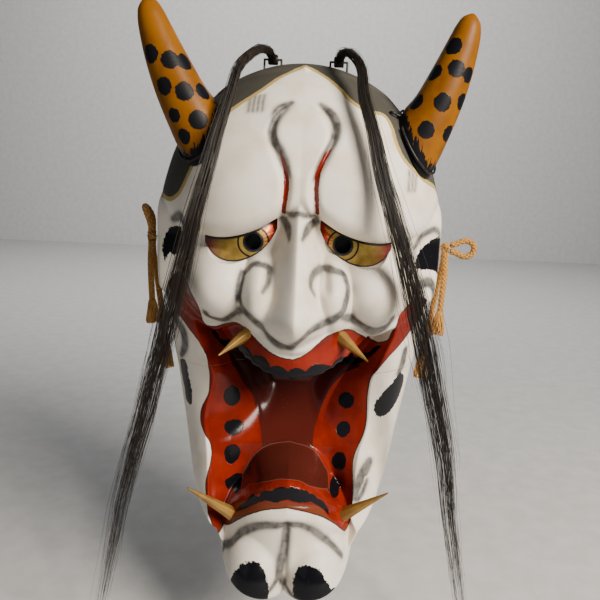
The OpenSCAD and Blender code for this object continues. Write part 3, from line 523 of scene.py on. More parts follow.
# %% [markdown]
# ## The hollow behind the face
# A mask is worn or hung, so its back is scooped out to an even wall. The scoop is worked out on a coarse
# grid of tool marks and blended between them, which is also how a gouge leaves it.

# %% The hollow
side_turns = [MOUTH_TURN + (90 - MOUTH_TURN) * k / 8 for k in range(1, 9)]
mouth_turns = [MOUTH_TURN * (2 * k / 30 - 1) for k in range(31)]
gouge_turns = np.array([-t for t in side_turns[::-1]] + mouth_turns + side_turns)
gouge_rows = []
row_marks = [0, JAW_LIP_H, SEAM_H, LIP_H, BROW_H, FACE_H]
for low, high in zip(row_marks, row_marks[1:]):
    count = round((high - low) / ROW_STEP) + 1
    gouge_rows += [low + (high - low) * k / count for k in range(count)]
gouge_rows = np.array(gouge_rows + [FACE_H])
gx, gd, gh = skin(*np.meshgrid(gouge_turns, gouge_rows))
padded = np.pad(gd, 1, mode="edge")
shallow = np.min([padded[i:i + gd.shape[0], j:j + gd.shape[1]] for i in range(3) for j in range(3)], axis=0)
cos = np.clip(np.cos(np.radians(gouge_turns)), 0, 1)
scoop = np.maximum(RIM_FLARE * gd, np.maximum(shallow, gd - 5 * WALL) - WALL * np.sqrt(cos))
column = gouge_rows[:, None]
scoop *= ease(0, 2 * ROW_STEP, np.minimum(column, FACE_H - column))
inward = WALL * (1 - ease(0, END_BLEND, column)) - WALL * ease(FACE_H - END_BLEND, FACE_H, column)
hollow_points = np.stack([gx * (1 - WALL / curve(RIM_HALF, column)), -scoop, gh + inward - PIN_H], axis=-1)


def in_hollow(turn, row):
    """A point of the hollow, between its four nearest tool marks."""
    k = np.clip(np.searchsorted(gouge_turns, turn, side="right") - 1, 0, len(gouge_turns) - 2)
    i = np.clip(np.searchsorted(gouge_rows, row, side="right") - 1, 0, len(gouge_rows) - 2)
    s = ((turn - gouge_turns[k]) / (gouge_turns[k + 1] - gouge_turns[k]))[:, None]
    t = ((row - gouge_rows[i]) / (gouge_rows[i + 1] - gouge_rows[i]))[:, None]
    low = mix(hollow_points[i, k], hollow_points[i, k + 1], s)
    high = mix(hollow_points[i + 1, k], hollow_points[i + 1, k + 1], s)
    return mix(low, high, t)


print("tool marks:", hollow_points.shape[0] * hollow_points.shape[1])

# %% [markdown]
# ## The two carved shells
# A crack at the same height on both cheeks shows that the lower jaw was carved apart and glued on. Each
# half starts as a flat grid in turn and row. Extruding the grid once gives a closed slab, whose front
# moves to the skin and whose back moves to the hollow.

# %% Shells
FINE_TURNS = np.r_[np.linspace(-90, -MOUTH_TURN, 41)[:-1], np.linspace(-MOUTH_TURN, MOUTH_TURN, 171),
                   np.linspace(MOUTH_TURN, 90, 41)[1:]]


def thickened(bm, faces):
    """Extrudes faces of a bmesh and gives the new vertices."""
    made = bmesh.ops.extrude_face_region(bm, geom=faces, use_keep_orig=True)["geom"]
    return [v for v in made if isinstance(v, bmesh.types.BMVert)]


def named_by(verts, rows):
    """The turn and row of each vertex of a flat grid."""
    flat = np.array([v.co[:2] for v in verts])
    turn = np.interp(flat[:, 0], np.linspace(-1, 1, len(FINE_TURNS)), FINE_TURNS)
    return turn, np.interp(flat[:, 1], np.linspace(-1, 1, len(rows)), rows)


def move_to(verts, spots):
    for v, spot in zip(verts, spots * MM):
        v.co = spot


def shell(rows):
    """A closed half of the mask between two rows, and the turn and row of each vertex of its front."""
    bm = bmesh.new()
    bmesh.ops.create_grid(bm, x_segments=len(FINE_TURNS) - 1, y_segments=len(rows) - 1, size=1)
    front = bm.verts[:]
    back = thickened(bm, bm.faces[:])
    turn, row = named_by(front, rows)
    move_to(back, in_hollow(*named_by(back, rows)))
    move_to(front, on_skin(turn, row))
    return smooth_from(bm, "shell"), np.c_[turn, row]


UPPER_ROWS = np.linspace(SEAM_H, FACE_H, 191)
LOWER_ROWS = np.linspace(0, SEAM_H, 151)
upper_mesh, upper_spots = shell(UPPER_ROWS)
lower_mesh, lower_spots = shell(LOWER_ROWS)
upper_face = place("carved_upper_face", upper_mesh, "mask", "white_lacquer", "upper_face")
lower_jaw = place("carved_lower_jaw", lower_mesh, "mask", "red_lacquer", "lower_jaw")

# %% [markdown]
# ## Holes in the shell
# The eye plates sit in almond openings, a cord passes a bored hole in each temple, and a nail takes the
# small hole behind the crown. The almonds are drawn between the brow line and the lid line and pushed
# through the wall as cutters.

# %% Cutters
EYE_IN, EYE_OUT, EYE_STEPS, EYE_D = 15, 67, 26, 82
CUT_BACK, CUT_DEPTH = 45, 47


def eye_cutter(bm, side):
    """A block with the outline of an eye, from the inner corner along the brow and back along the lid."""
    x = np.linspace(EYE_IN, EYE_OUT, EYE_STEPS + 1)
    top = np.c_[x, curve(BROW_LINE, x) + 1]
    low = np.c_[x, curve(LID_LINE, x)]
    ring = [bm.verts.new((side * a * MM, -CUT_BACK * MM, (h - PIN_H) * MM)) for a, h in np.r_[top, low[::-1]]]
    moved = thickened(bm, [bm.faces.new(ring)])
    bmesh.ops.translate(bm, verts=moved, vec=(0, -CUT_DEPTH * MM, 0))


def bore(bm, middle, direction, radius, depth):
    turn = Vector(direction).to_track_quat("Z", "Y").to_matrix().to_4x4()
    bmesh.ops.create_cone(bm, cap_ends=True, segments=32, radius1=radius * MM, radius2=radius * MM,
                          depth=depth * MM, matrix=Matrix.Translation(Vector(middle) * MM) @ turn)


def carve(piece, fill, operation="DIFFERENCE"):
    """Takes what fill draws away from a piece, or joins it on."""
    bm = bmesh.new()
    fill(bm)
    bmesh.ops.recalc_face_normals(bm, faces=bm.faces[:])
    mesh = mesh_from(bm, "cutter")
    cutter = linked("cutter", mesh)
    cut = piece.modifiers.new("carve", "BOOLEAN")
    cut.operation, cut.solver, cut.object = operation, "MANIFOLD", cutter
    carved = evaluated(piece)
    piece.modifiers.clear()
    old, piece.data = piece.data, carved
    carved.name = piece.name
    bpy.data.meshes.remove(old)
    bpy.data.objects.remove(cutter)
    bpy.data.meshes.remove(mesh)
    print(piece.name, "after carving, faces:", len(carved.polygons))


EAR_TURN, EAR_ROW, EAR_R, EAR_DEPTH, PIN_R, PIN_DEPTH = 85, 254, 2, 48, 2, 10


def face_holes(bm):
    for side in SIDES.values():
        eye_cutter(bm, side)
        bore(bm, on_skin(side * EAR_TURN, EAR_ROW), (1, 0, 0), EAR_R, EAR_DEPTH)
    bore(bm, (0, 0.5 - PIN_DEPTH / 2, 0), (0, 1, 0), PIN_R, PIN_DEPTH + 1)


carve(upper_face, face_holes)

# %% [markdown]
# ## Horns
# The horns are turned from wood, thick at the foot and rounded at the tip, with a slight outward bend. The
# foot is cut at a slant so that it stands on the sloping brow. A grid is wrapped into a tube: its seam is
# merged and its two ends are filled.

# %% Horns
HORN_LEN, HORN_BEND, HORN_SLANT_END, HORN_ROW, SEAT_CUT = 97, 3.5, 0.4, 336, 2.5
TIP_START, TIP_ROUND = 0.93, 0.072
HORN_SHAPE = [(0, 18.5), (0.12, 18.5), (0.5, 15), (0.85, 10), (0.95, 7), (1, 4)]
HORN_STAND = {}
for side, spread, lean in ((-1, 48, 24), (1, 60, 20)):
    facing = outward(side * spread, HORN_ROW)
    tilt = math.radians(lean)
    HORN_STAND[side] = (on_skin(side * spread, HORN_ROW) - SEAT_CUT * facing, facing,
                        unit(np.array([side * math.sin(tilt), -0.06, math.cos(tilt)])))


def on_horn(side, share, turn):
    """A point of the horn at a share of its length and a turn round its axis, in millimetres."""
    seat, out, axis = HORN_STAND[side]
    first = unit(np.cross((0, 1, 0), axis))
    second = np.cross(axis, first)
    rounding = np.sqrt(np.clip(1 - ((share - TIP_START) / TIP_ROUND) ** 2, 0, 1))
    tip = np.where(share > TIP_START, rounding, 1)
    size = (curve(HORN_SHAPE, share) * tip)[:, None]
    r = size * (np.cos(turn)[:, None] * first + np.sin(turn)[:, None] * second)
    down = (1 - ease(0, HORN_SLANT_END, share)) * (r @ out) / (axis @ out)
    bend = np.stack([side * HORN_BEND * 4 * share * (1 - share), 0 * share, 0 * share], axis=1)
    return seat + bend + r + (share * HORN_LEN - down)[:, None] * axis


def wrapped(around, along, spot):
    """A closed tube from a grid: spot gives a point for shares of the turn and of the length."""
    bm = bmesh.new()
    bmesh.ops.create_grid(bm, x_segments=around, y_segments=along, size=1)
    flat = (np.array([v.co[:2] for v in bm.verts]) + 1) / 2
    move_to(bm.verts, spot(flat[:, 0], flat[:, 1]))
    bmesh.ops.remove_doubles(bm, verts=bm.verts[:], dist=1e-6)
    bmesh.ops.holes_fill(bm, edges=bm.edges[:], sides=0)
    return smooth_from(bm, "tube")


def vertices_of(piece):
    """The piece's vertices in millimetres."""
    co = np.empty(3 * len(piece.data.vertices))
    piece.data.vertices.foreach_get("co", co)
    return co.reshape(-1, 3) / MM


def note(piece, name, values):
    """Keeps one number for each vertex, which a material can read by name."""
    kept = piece.data.attributes.new(name, "FLOAT", "POINT")
    kept.data.foreach_set("value", np.asarray(values, np.float32))


horns = {}
for word, side in SIDES.items():
    mesh = wrapped(72, 110, lambda u, s: on_horn(side, s ** 0.9, 2 * np.pi * u))
    horns[word] = place(f"{word}_painted_horn", mesh, "mask", "ochre_lacquer", f"{word}_horn")

# %% [markdown]
# Black spots are dabbed on each horn, and its foot is brushed black upwards. Each vertex keeps its
# distance to the nearest spot and to the foot, so the paint's ragged edge can be made by the material at
# any size.

# %% Spots on the horns
HORN_SPOTS = {
    "left": [(0.61, 237, 6.2), (0.52, 285, 6.2), (0.48, 322, 6), (0.38, 244, 6), (0.31, 285, 6.4),
             (0.26, 330, 6), (0.24, 238, 5), (0.17, 285, 6.4), (0.15, 240, 5.2)],
    "right": [(0.72, 230, 6.2), (0.51, 210, 6.2), (0.58, 267, 6), (0.58, 314, 5.6), (0.26, 206, 6),
              (0.34, 270, 6.4), (0.4, 327, 6), (0.18, 264, 6.2), (0.23, 324, 6)],
}
BACK_SPOTS = [(s, t + 24 * (k % 2), 5.8) for k, s in enumerate((0.16, 0.3, 0.44, 0.58))
              for t in (30, 80, 130)]
for word, side in SIDES.items():
    co = vertices_of(horns[word])
    spots = np.array(HORN_SPOTS[word] + [(s, t if side > 0 else t - 12, r) for s, t, r in BACK_SPOTS])
    middles = on_horn(side, spots[:, 0], np.radians(spots[:, 1]))
    apart = np.linalg.norm(co[:, None] - middles[None], axis=2) - spots[:, 2]
    note(horns[word], "spot", apart.min(axis=1))
    seat, out, axis = HORN_STAND[side]
    note(horns[word], "foot", (co - seat) @ out / (axis @ out))

# %% [markdown]
# ## Eye plates
# Each eye is a thin gilt plate, domed and set behind the almond. A grid is stretched between lid and brow,
# blown onto a sphere and given its thickness. The pupil is a small black cup behind a round hole, so it
# stays dark from every side.

# %% Eye plates
EYE_DOME, EYE_T, EYE_GAP = 44, 3.5, 0.2
PUPIL_X, PUPIL_H, PUPIL_R, PUPIL_DEPTH, CUP_WALL = 31.5, 260, 5.75, 12, 1
EYE_MIDDLE = (EYE_IN + EYE_OUT) / 2 - 3
PUPIL_FRONT = EYE_DOME - EYE_D - math.sqrt(EYE_DOME ** 2 - (PUPIL_X - EYE_MIDDLE) ** 2)


def eye_mesh(side):
    bm = bmesh.new()
    bmesh.ops.create_grid(bm, x_segments=88, y_segments=44, size=1)
    front = bm.verts[:]
    back = thickened(bm, bm.faces[:])
    for verts, radius in ((front, EYE_DOME), (back, EYE_DOME - EYE_T)):
        u, v = (np.array([vert.co[:2] for vert in verts]).T + 1) / 2
        x = EYE_IN + (EYE_OUT - EYE_IN) * u
        h = mix(curve(LID_LINE, x) + EYE_GAP, curve(BROW_LINE, x) + 1 - EYE_GAP, v)
        x = x + EYE_GAP * (1 - 2 * u)
        y = EYE_DOME - EYE_D - np.sqrt(radius ** 2 - (x - EYE_MIDDLE) ** 2 - (h - PUPIL_H) ** 2)
        move_to(verts, np.c_[side * x, y, h - PIN_H])
    return smooth_from(bm, "eye")


def pupil_drum(side, radius, front, back):
    """Draws a round block on the pupil's axis, for a cutter."""
    middle = (side * PUPIL_X, PUPIL_FRONT + (front + back) / 2, PUPIL_H - PIN_H)
    return lambda bm: bore(bm, middle, (0, 1, 0), radius, back - front)


eyes = {}
for word, side in SIDES.items():
    eye = eyes[word] = place(f"{word}_gilt_eye", eye_mesh(side), "mask", "gilt_plate", f"{word}_eye")
    carve(eye, pupil_drum(side, PUPIL_R + CUP_WALL, EYE_T / 2, PUPIL_DEPTH + CUP_WALL), "UNION")
    carve(eye, pupil_drum(side, PUPIL_R, -EYE_T, PUPIL_DEPTH))
    eye.data.set_sharp_from_angle(angle=math.radians(40))
    co = vertices_of(eye)
    x, h = side * co[:, 0], co[:, 2] + PIN_H
    note(eye, "pupil", np.hypot(x - PUPIL_X, h - PUPIL_H))
    note(eye, "ray", np.degrees(np.arctan2(h - PUPIL_H, x - PUPIL_X)))
    note(eye, "across", (x - EYE_IN) / (EYE_OUT - EYE_IN))
    note(eye, "brow_rim", curve(BROW_LINE, x) + 1 - h)
    note(eye, "lid_rim", h - curve(LID_LINE, x))

# %% [markdown]
# ## Fangs
# Four fangs are whittled from wood, so they are cones with flat sides rather than smooth ones. A
# seven-sided cone is cut into rings, nudged a little off true, and its long edges are softened with a
# bevel.

# %% Fangs
FANG_R, FANG_TIP, FANG_SIDES, FANG_CUT, LOWER_FANG_X = 5.5, 0.6, 7, 2, 41.5
FANG_BEVEL, FANG_WOBBLE, UPPER_FANG_TURN = 0.35, 0.07, 17.5
FANGS = {"upper": (181, (0.66, -0.6, -0.46), 28), "lower": (74.5, (0.7, -0.35, 0.62), 45)}


def fang_spot(level_word, side, row):
    """The point of the skin that a fang grows from."""
    if level_word == "upper":
        return on_skin(side * UPPER_FANG_TURN, row)
    turn = math.degrees(math.asin(AT_MOUTH * LOWER_FANG_X / mouth_edge(side, row)))
    return on_skin(side * turn, row)


fang_pieces = []
for level_word, (row, axis, size) in FANGS.items():
    for word, side in SIDES.items():
        chance = np.random.default_rng(size + side)
        way = Vector((side * axis[0], axis[1], axis[2])).normalized()
        spot = Vector(fang_spot(level_word, side, row)) * MM + way * (size / 2 - FANG_CUT) * MM
        bm = bmesh.new()
        bmesh.ops.create_cone(bm, cap_ends=True, segments=FANG_SIDES, radius1=FANG_R * MM,
                              radius2=FANG_TIP * MM, depth=size * MM)
        long_edges = [e for e in bm.edges if abs(e.verts[0].co.z - e.verts[1].co.z) > size * MM / 2]
        bmesh.ops.subdivide_edges(bm, edges=long_edges, cuts=5)
        for v in bm.verts:
            v.co.x += chance.normal(0, FANG_WOBBLE) * MM
            v.co.y += chance.normal(0, FANG_WOBBLE) * MM
        edges = [e for e in bm.edges if abs(e.verts[0].co.z - e.verts[1].co.z) > size * MM / 12]
        bmesh.ops.bevel(bm, geom=edges, offset=FANG_BEVEL * MM, affect="EDGES", segments=2, profile=0.5,
                        material=-1)
        stand = Matrix.Translation(spot) @ way.to_track_quat("Z", "Y").to_matrix().to_4x4()
        bmesh.ops.transform(bm, matrix=stand, verts=bm.verts[:])
        mesh = smooth_from(bm, "fang")
        mesh.set_sharp_from_angle(angle=math.radians(28))
        name = f"{level_word}_{word}"
        fang_pieces.append(place(f"{name}_wooden_fang", mesh, "mask", "gold_brown_lacquer", f"{name}_fang"))

# %% [markdown]
# ## Binding wires
# Iron wire holds each horn to the brow: one turn round the foot, and an end that was left curled.

# %% Wires
WIRE_R, WIRE_RISE, WIRE_OFF = 0.9, 4, 0.4
WIRE_START = {-1: 36, 1: 216}
WIRE_ARC, WIRE_STEP = 342, 9
wire_pieces = []
for word, side in SIDES.items():
    angles = np.radians(WIRE_START[side] + np.arange(0, WIRE_ARC, WIRE_STEP))
    ring = on_horn(side, np.full(len(angles), WIRE_RISE / HORN_LEN), angles)
    seat, _, axis = HORN_STAND[side]
    middle = seat + WIRE_RISE * axis
    spokes = unit(ring - middle - ((ring - middle) @ axis)[:, None] * axis)
    ring = ring + spokes * (WIRE_R + WIRE_OFF)
    away = spokes[-1]
    along = np.cross(axis, away)
    curl = [ring[-1] + away * 3, ring[-1] + away * 6 + along, ring[-1] + away * 7.5 - along * 1.5,
            ring[-1] + away * 5.5 - along * 2.4]
    mesh = threads_mesh("wire", [through(np.r_[ring, curl], 1.5)], WIRE_R, 2)
    wire_pieces.append(place(f"{word}_bound_wire", mesh, "mask", "black_wire", f"{word}_horn_wire"))

# %% [markdown]
# ## Locks of hair
# Each lock springs from the crown, falls past the brow and hangs free. It is more than two hundred hairs
# that share one route. Every hair has its own place in the lock's section, sways a little on the way down
# and ends at its own length, which is what makes the tip thin out.

# %% Hair
HAIR_PIVOT = np.array([24.922, -23.666, 2.119])
HAIR_CROWN = {
    "left": [(2, -10.5, 3.5), (7, -18.5, 4), (14, -29.5, -2.5), (21, -42.5, -13.5)],
    "right": [(1, -10.5, 3.5), (4, -18.5, 4), (9, -29.5, -1.5), (14, -42.5, -12.5)],
}
HAIR_FALL = {
    "left": [(50, -78, 360), (56, -90, 334.5), (62, -100, 305.5), (68, -106, 280), (74, -106, 255),
             (80, -105, 230), (87, -100, 205.5), (94, -92, 180), (101, -88, 155), (107, -86, 130),
             (114, -85, 105), (120, -85, 80), (126, -85, 55), (131, -85, 30), (136, -85, 5),
             (141, -85, -20), (146, -85, -45)],
    "right": [(40, -78, 363.5), (46, -90, 340), (53, -100, 310), (62, -106, 282), (71, -106, 256),
              (79, -105, 230), (87, -100, 205.5), (95, -92, 180), (102, -88, 155), (109, -86, 130),
              (115, -85, 105), (119, -85, 80), (123, -85, 55), (128, -85, 30), (133, -85, 5),
              (138, -85, -20), (142, -85, -45)],
}
LOCK_WIDE = [(0, 6), (0.1, 6.5), (0.3, 11), (0.5, 15), (0.75, 13), (1, 6)]
LOCK_DEEP = [(0, 5), (0.15, 6), (0.6, 7), (1, 3)]
HAIRS, HAIR_STEPS, HAIR_R = 230, 44, 0.13


def lock_route(word):
    side = SIDES[word]
    pivot = HAIR_PIVOT * (side, 1, 1)
    start = [pivot + (0, -3, 0), pivot + (0, -5, 0)]
    over = [pivot + (side * p, q, r) for p, q, r in HAIR_CROWN[word]]
    return through(start + over + [np.array((side * p, q, r - PIN_H)) for p, q, r in HAIR_FALL[word]], 3)


def lock_hairs(word):
    line = lock_route(word)
    chance = np.random.default_rng(SIDES[word] + 40)
    along = unit(np.gradient(line, axis=0))
    deep = unit(np.cross(along, (1, 0, 0)))
    wide = np.cross(along, deep)
    share = np.linspace(0, 1, len(line))
    hairs = []
    for k in range(HAIRS):
        stray = k % 7 == 0
        u, v = np.clip(chance.normal(0, 0.5, 2), -1.1, 1.1)
        end = chance.uniform(0.45, 0.98) if stray else chance.uniform(0.66, 1)
        s = np.linspace(0, end, HAIR_STEPS)
        sway = sum(chance.normal(0, amp) * np.sin(2 * np.pi * (f * s + chance.random()))
                   for f, amp in ((0.7, 1.5), (1.9, 0.7), (4.3, 0.3)))
        drift = ease(0.08, 0.6, s) * (sway + chance.normal(0, 1.2)) * (3.0 if stray else 1)
        side_step = 0.5 * curve(LOCK_WIDE, s) * u + drift
        deep_step = 0.5 * curve(LOCK_DEEP, s) * v + 0.35 * ease(0.3, 1, s) * chance.normal(0, 2) * s
        at, w, d = (np.stack([np.interp(s, share, way[:, i]) for i in range(3)], axis=1)
                    for way in (line, wide, deep))
        hairs.append(at + w * side_step[:, None] + d * deep_step[:, None])
    return hairs


hair_pieces = []
for word in SIDES:
    mesh = threads_mesh("hair", lock_hairs(word), HAIR_R, 0, ((0, 0.7, 1), (1, 1, 0.45)))
    hair_pieces.append(place(f"{word}_hair_strands", mesh, f"{word}_hair", "black_hair", f"{word}_hair_lock"))

# %% [markdown]
# The root of each lock is wound with black thread over the staple that it swings on.

# %% Hair roots
ROOT_R, ROOT_LEN, COIL_R, COIL_REACH, COIL_TURNS, COIL_THREAD_R = 3.2, 7.4, 3.3, 3.4, 7, 0.62
root_pieces = []
wind = np.linspace(0, COIL_TURNS * 2 * np.pi, 141)
reach = np.linspace(-COIL_REACH, COIL_REACH, len(wind))
coil = np.stack([reach, COIL_R * np.cos(wind), COIL_R * np.sin(wind)], axis=1)
for word, side in SIDES.items():
    pivot = HAIR_PIVOT * (side, 1, 1)
    bm = bmesh.new()
    bm.from_mesh(threads_mesh("thread", [pivot + coil], COIL_THREAD_R, 1))
    lying = Matrix.Translation(pivot * MM) @ Matrix.Rotation(math.pi / 2, 4, "Y")
    bmesh.ops.create_cone(bm, cap_ends=True, segments=24, radius1=ROOT_R * MM, radius2=ROOT_R * MM,
                          depth=ROOT_LEN * MM, matrix=lying)
    mesh = mesh_from(bm, "root")
    root_pieces.append(place(f"{word}_wound_root", mesh, f"{word}_hair", "black_hair", f"{word}_hair_root"))

# %% [markdown]
# ## Where the paint goes
# Every painted line on the face is a stroke with a width, named by turn and row as the carving is. The points
# were found on the photograph, converted to turns and rows, and then thinned and rounded. A stroke is drawn
# as a dense row of points on the skin, and each vertex of the face keeps its distance to the nearest one.
# Distances blend smoothly between vertices, so a material can cut a crisp or a feathered edge from them. A
# picture texture would need unwrapping, and would blur close up.

# %% Strokes and patches
FAR, PAINT_STEP, SKIN_REACH = 50.0, 0.4, 1.0


def nearest(spots, co):
    """For each vertex, which turn and row of a list lies nearest on the skin, and how far off."""
    tree = KDTree(len(spots))
    for k, p in enumerate(on_skin(spots[:, 0], spots[:, 1])):
        tree.insert(p, k)
    tree.balance()
    found = [tree.find(p)[1:] for p in co]
    return np.array([k for k, _ in found]), np.array([d for _, d in found])


def stroke_distance(co, strokes):
    """Millimetres from each vertex to the nearest stroke's edge, less than nothing on the stroke itself."""
    line = np.concatenate([through(s, PAINT_STEP) for s in strokes])
    which, away = nearest(line, co)
    return away - line[which, 2]


def inside(turn, row, outline):
    """Whether each turn and row lies in a closed outline."""
    within = np.zeros(len(turn), bool)
    for (a, b), (c, d) in zip(outline, np.roll(outline, -1, axis=0)):
        if b != d:
            within ^= ((b > row) != (d > row)) & (turn < (c - a) * (row - b) / (d - b) + a)
    return within


def outline_of(sides):
    """One closed outline from smooth sides that meet at corners."""
    return np.concatenate([through(s, PAINT_STEP) for s in sides])


def patch_distance(co, turn, row, patches):
    """The same for patches, each a list of sides."""
    within = np.zeros(len(co), bool)
    for sides in patches:
        within |= inside(turn, row, outline_of(sides))
    edge = stroke_distance(co, [[(t, r, 0) for t, r in s] for sides in patches for s in sides])
    return np.where(within, -edge, edge)


def tapered(widths, *points):
    half = np.interp(np.linspace(0, 1, len(points)), np.linspace(0, 1, len(widths)), widths) / 2
    return [(t, r, w) for (t, r), w in zip(points, half)]


def closed(points):
    """A patch with one smooth side that comes back to its start."""
    return [[*points, points[0]]]


# %% Strokes of the brush
GREY_STROKES = [
    tapered((2.5, 6, 6.5, 5, 2), (-5.5, 356), (-10, 352), (-12, 341), (-11, 330), (-7.5, 321), (-5, 312),
            (-4, 306)),
    tapered((2.5, 6, 6.5, 5, 2), (8, 355.5), (11.5, 351), (14, 340), (13, 332), (9.5, 323), (6.5, 314),
            (5, 304.5)),
    tapered((2, 3.4, 3.4, 2), (-5, 282.5), (-2, 279.5), (2, 279.5), (6.5, 282)),
    tapered((5, 6, 1.5), (-5.5, 278), (-3.5, 270), (-3, 263.5)),
    tapered((5, 6, 1.5), (6.5, 279.5), (3.5, 272), (1.5, 263.5)),
    tapered((1.5, 4.5, 5.5, 6, 6, 5.5, 5, 4.5), (-11.5, 228), (-9.5, 237.5), (-10.5, 245), (-14.5, 248),
            (-18, 242), (-20.5, 228.5), (-20.5, 216), (-18.5, 205.5), (-13, 198), (-7, 191), (-1, 191)),
    tapered((1.5, 4.5, 5.5, 6, 6, 5.5, 5, 4.5), (6.5, 228.5), (5, 234.5), (6, 242), (10.5, 245.5),
            (15, 244.5), (18, 236), (18, 221), (15.5, 207.5), (11, 204), (6.5, 205.5), (2.5, 200), (-1, 191)),
    tapered((4, 6, 6, 3), (-19, 204), (-21.5, 197), (-25.5, 194), (-30, 198.5), (-34, 201.5), (-35, 205.5)),
    tapered((4, 6, 6, 5, 3), (17, 204.5), (21, 194.5), (28, 191.5), (35, 193.5), (39, 204.5)),
    tapered((5, 6, 6, 6, 5, 4, 5, 5, 4), (-44, 24), (-33.5, 38), (-24, 53), (-16.5, 61.5), (-9.5, 65),
            (-0.5, 66), (6.5, 67), (13, 62.5), (19.5, 54), (25, 47.5), (33.5, 34)),
    tapered((6, 6.5, 6.5), (0, 62), (-1, 45), (-3, 27.5)),
    tapered((6, 4, 2), (-3, 27.5), (-4.5, 24), (-8.5, 19)),
    tapered((6, 4, 3), (-3, 27.5), (1, 16), (5.5, 13.5)),
    tapered((7, 9, 7, 4), (48.5, 99.5), (45, 95), (42.5, 90.5), (41.5, 85)),
    tapered((2.5, 3.5, 3), (48.5, 91), (46, 85.5), (43.5, 83.5)),
    tapered((5, 7, 5), (56.5, 173), (58.5, 166.5), (58.5, 159)),
    tapered((5, 7, 5, 2), (54.5, 229.5), (62.5, 232), (71.5, 225), (72, 217.5)),
    tapered((2, 4, 4, 2), (50.5, 267), (55.5, 276), (63.5, 273.5), (73.5, 264.5)),
    tapered((4, 6, 4), (-57.5, 279.5), (-50.5, 286), (-49, 282)),
    tapered((7, 9, 8, 4), (-59.5, 185), (-53.5, 178.5), (-55, 172.5), (-64, 164.5)),
    *[tapered((0.8, 1.2, 0.6), (-27 + 2.4 * k, 362), (-25 + 2.2 * k, 350)) for k in range(4)],
    *[tapered((0.8, 1.2, 0.6), (47 + 2.6 * k, 316), (45 + 2.2 * k, 305)) for k in range(3)],
]
RED_STROKES = [
    tapered((1, 3.7, 4.4, 4.4, 3.5), (-8.5, 323), (-7, 316.5), (-5.5, 310), (-5, 300), (-5.5, 283)),
    tapered((1, 3.4, 4, 4.4, 3.5), (11.5, 325.5), (9.5, 321.5), (7.5, 315.5), (6, 302), (6.5, 284)),
]

# %% Black patches and dots
BLACK_PATCHES = [
    [(51, 248), (52.5, 257), (57, 264), (64.5, 264.5), (76, 261.5), (77.5, 247), (77, 237), (68.5, 240.5),
     (60, 242), (52, 244)],
    [(-59, 270.5), (-52, 278), (-51, 266.5), (-52, 252), (-55, 246.5), (-59, 247.5), (-64, 240.5),
     (-66.5, 246), (-62, 264.5)],
    [(59.5, 159), (66.5, 152.5), (67, 140), (62.5, 131), (54, 125), (45.5, 126.5), (43.5, 132.5),
     (50, 145.5), (54.5, 150)],
    [(-68.5, 158.5), (-61.5, 162.5), (-59, 147.5), (-54.5, 133.5), (-55, 125.5), (-61.5, 125.5),
     (-66, 136.5), (-70, 147)],
    [(-39, 12.5), (-27, 30), (-22, 36), (-18, 38), (-14.5, 37.5), (-11, 32), (-9.5, 23), (-12, 8), (-18, 3),
     (-30, 3), (-40, 6)],
    [(12, 4), (8, 10), (5.5, 19), (5.5, 26), (8.5, 35), (12.5, 37), (17.5, 35.5), (25.5, 25), (33.5, 15.5),
     (38, 12.5), (38, 6), (28, 3)],
]


def dot(turn, row, half_wide, half_high, lean):
    """A round dab of the brush whose top leans to one side."""
    angles = np.radians(range(0, 360, 45))
    return [(turn + half_wide * np.cos(a) + lean * np.sin(a), row + half_high * np.sin(a)) for a in angles]


DOTS = [
    dot(-28.5, 136.5, 4, 7.5, -1.5), dot(-26, 115.5, 4.5, 4.5, -0.5), dot(-27.5, 102, 4, 5, -0.5),
    dot(-27, 87, 4, 4, -2), dot(27.5, 136, 4, 6, 1), dot(27.5, 116.5, 3.5, 5, 0.5), dot(29, 98, 4, 6, 1.5),
    dot(28, 84.5, 4, 2, 0),
]

# %% Gold line, mouth, teeth and throat
TRIM_LEFT = [
    (-0.5, 387.5), (-15, 377), (-23.5, 365.5), (-31.5, 356.5), (-40.5, 343.5), (-43.5, 325), (-47, 314),
    (-54.5, 297), (-62, 291), (-74, 287), (-90, 284)]
TRIM_RIGHT = [
    (-0.5, 387.5), (9.5, 381.5), (20, 368), (23, 361.5), (29.5, 355.5), (41, 354), (42.5, 345.5), (42, 336),
    (45, 322.5), (55.5, 312.5), (73, 302.5), (78, 292.5), (90, 286)]
MOUTH_LEFT = [
    (-61.5, 223.5), (-59.5, 210.5), (-56, 193.5), (-47, 182.5), (-40, 169), (-42, 161), (-42.5, 150),
    (-41.5, 139.5), (-44, 124), (-43.5, 117.5), (-38.5, 108), (-38, 104), (-40.5, 94), (-42.5, 89),
    (-41.5, 78), (-39.5, 67.5), (-40.5, 55), (-46.5, 33.5)]
MOUTH_LOW = [
    (-46.5, 33.5), (-42, 40), (-29, 64.5), (-19, 73), (-11, 76), (-4, 77), (13.5, 75.5), (21.5, 73),
    (28.5, 68), (33, 59)]
MOUTH_RIGHT = [
    (33, 59), (39, 71), (40, 81), (39, 91), (37.5, 103.5), (39, 113.5), (39, 129.5), (39, 147.5),
    (41.5, 168), (47.5, 175), (54, 184.5), (62.5, 197.5), (65, 216.5)]
LIP_EDGE = [
    (65, 216.5), (58, 219.5), (51, 213.5), (43.5, 202), (39, 183.5), (38.5, 179), (36.5, 178), (34, 178),
    (28, 182), (20, 185), (14, 189), (7, 187), (1, 182), (-5, 181), (-9, 180), (-16.5, 183.5),
    (-23.5, 188.5), (-30.5, 190), (-33.5, 189), (-37, 201), (-41.5, 219), (-45.5, 230), (-51.5, 233),
    (-61.5, 223.5)]
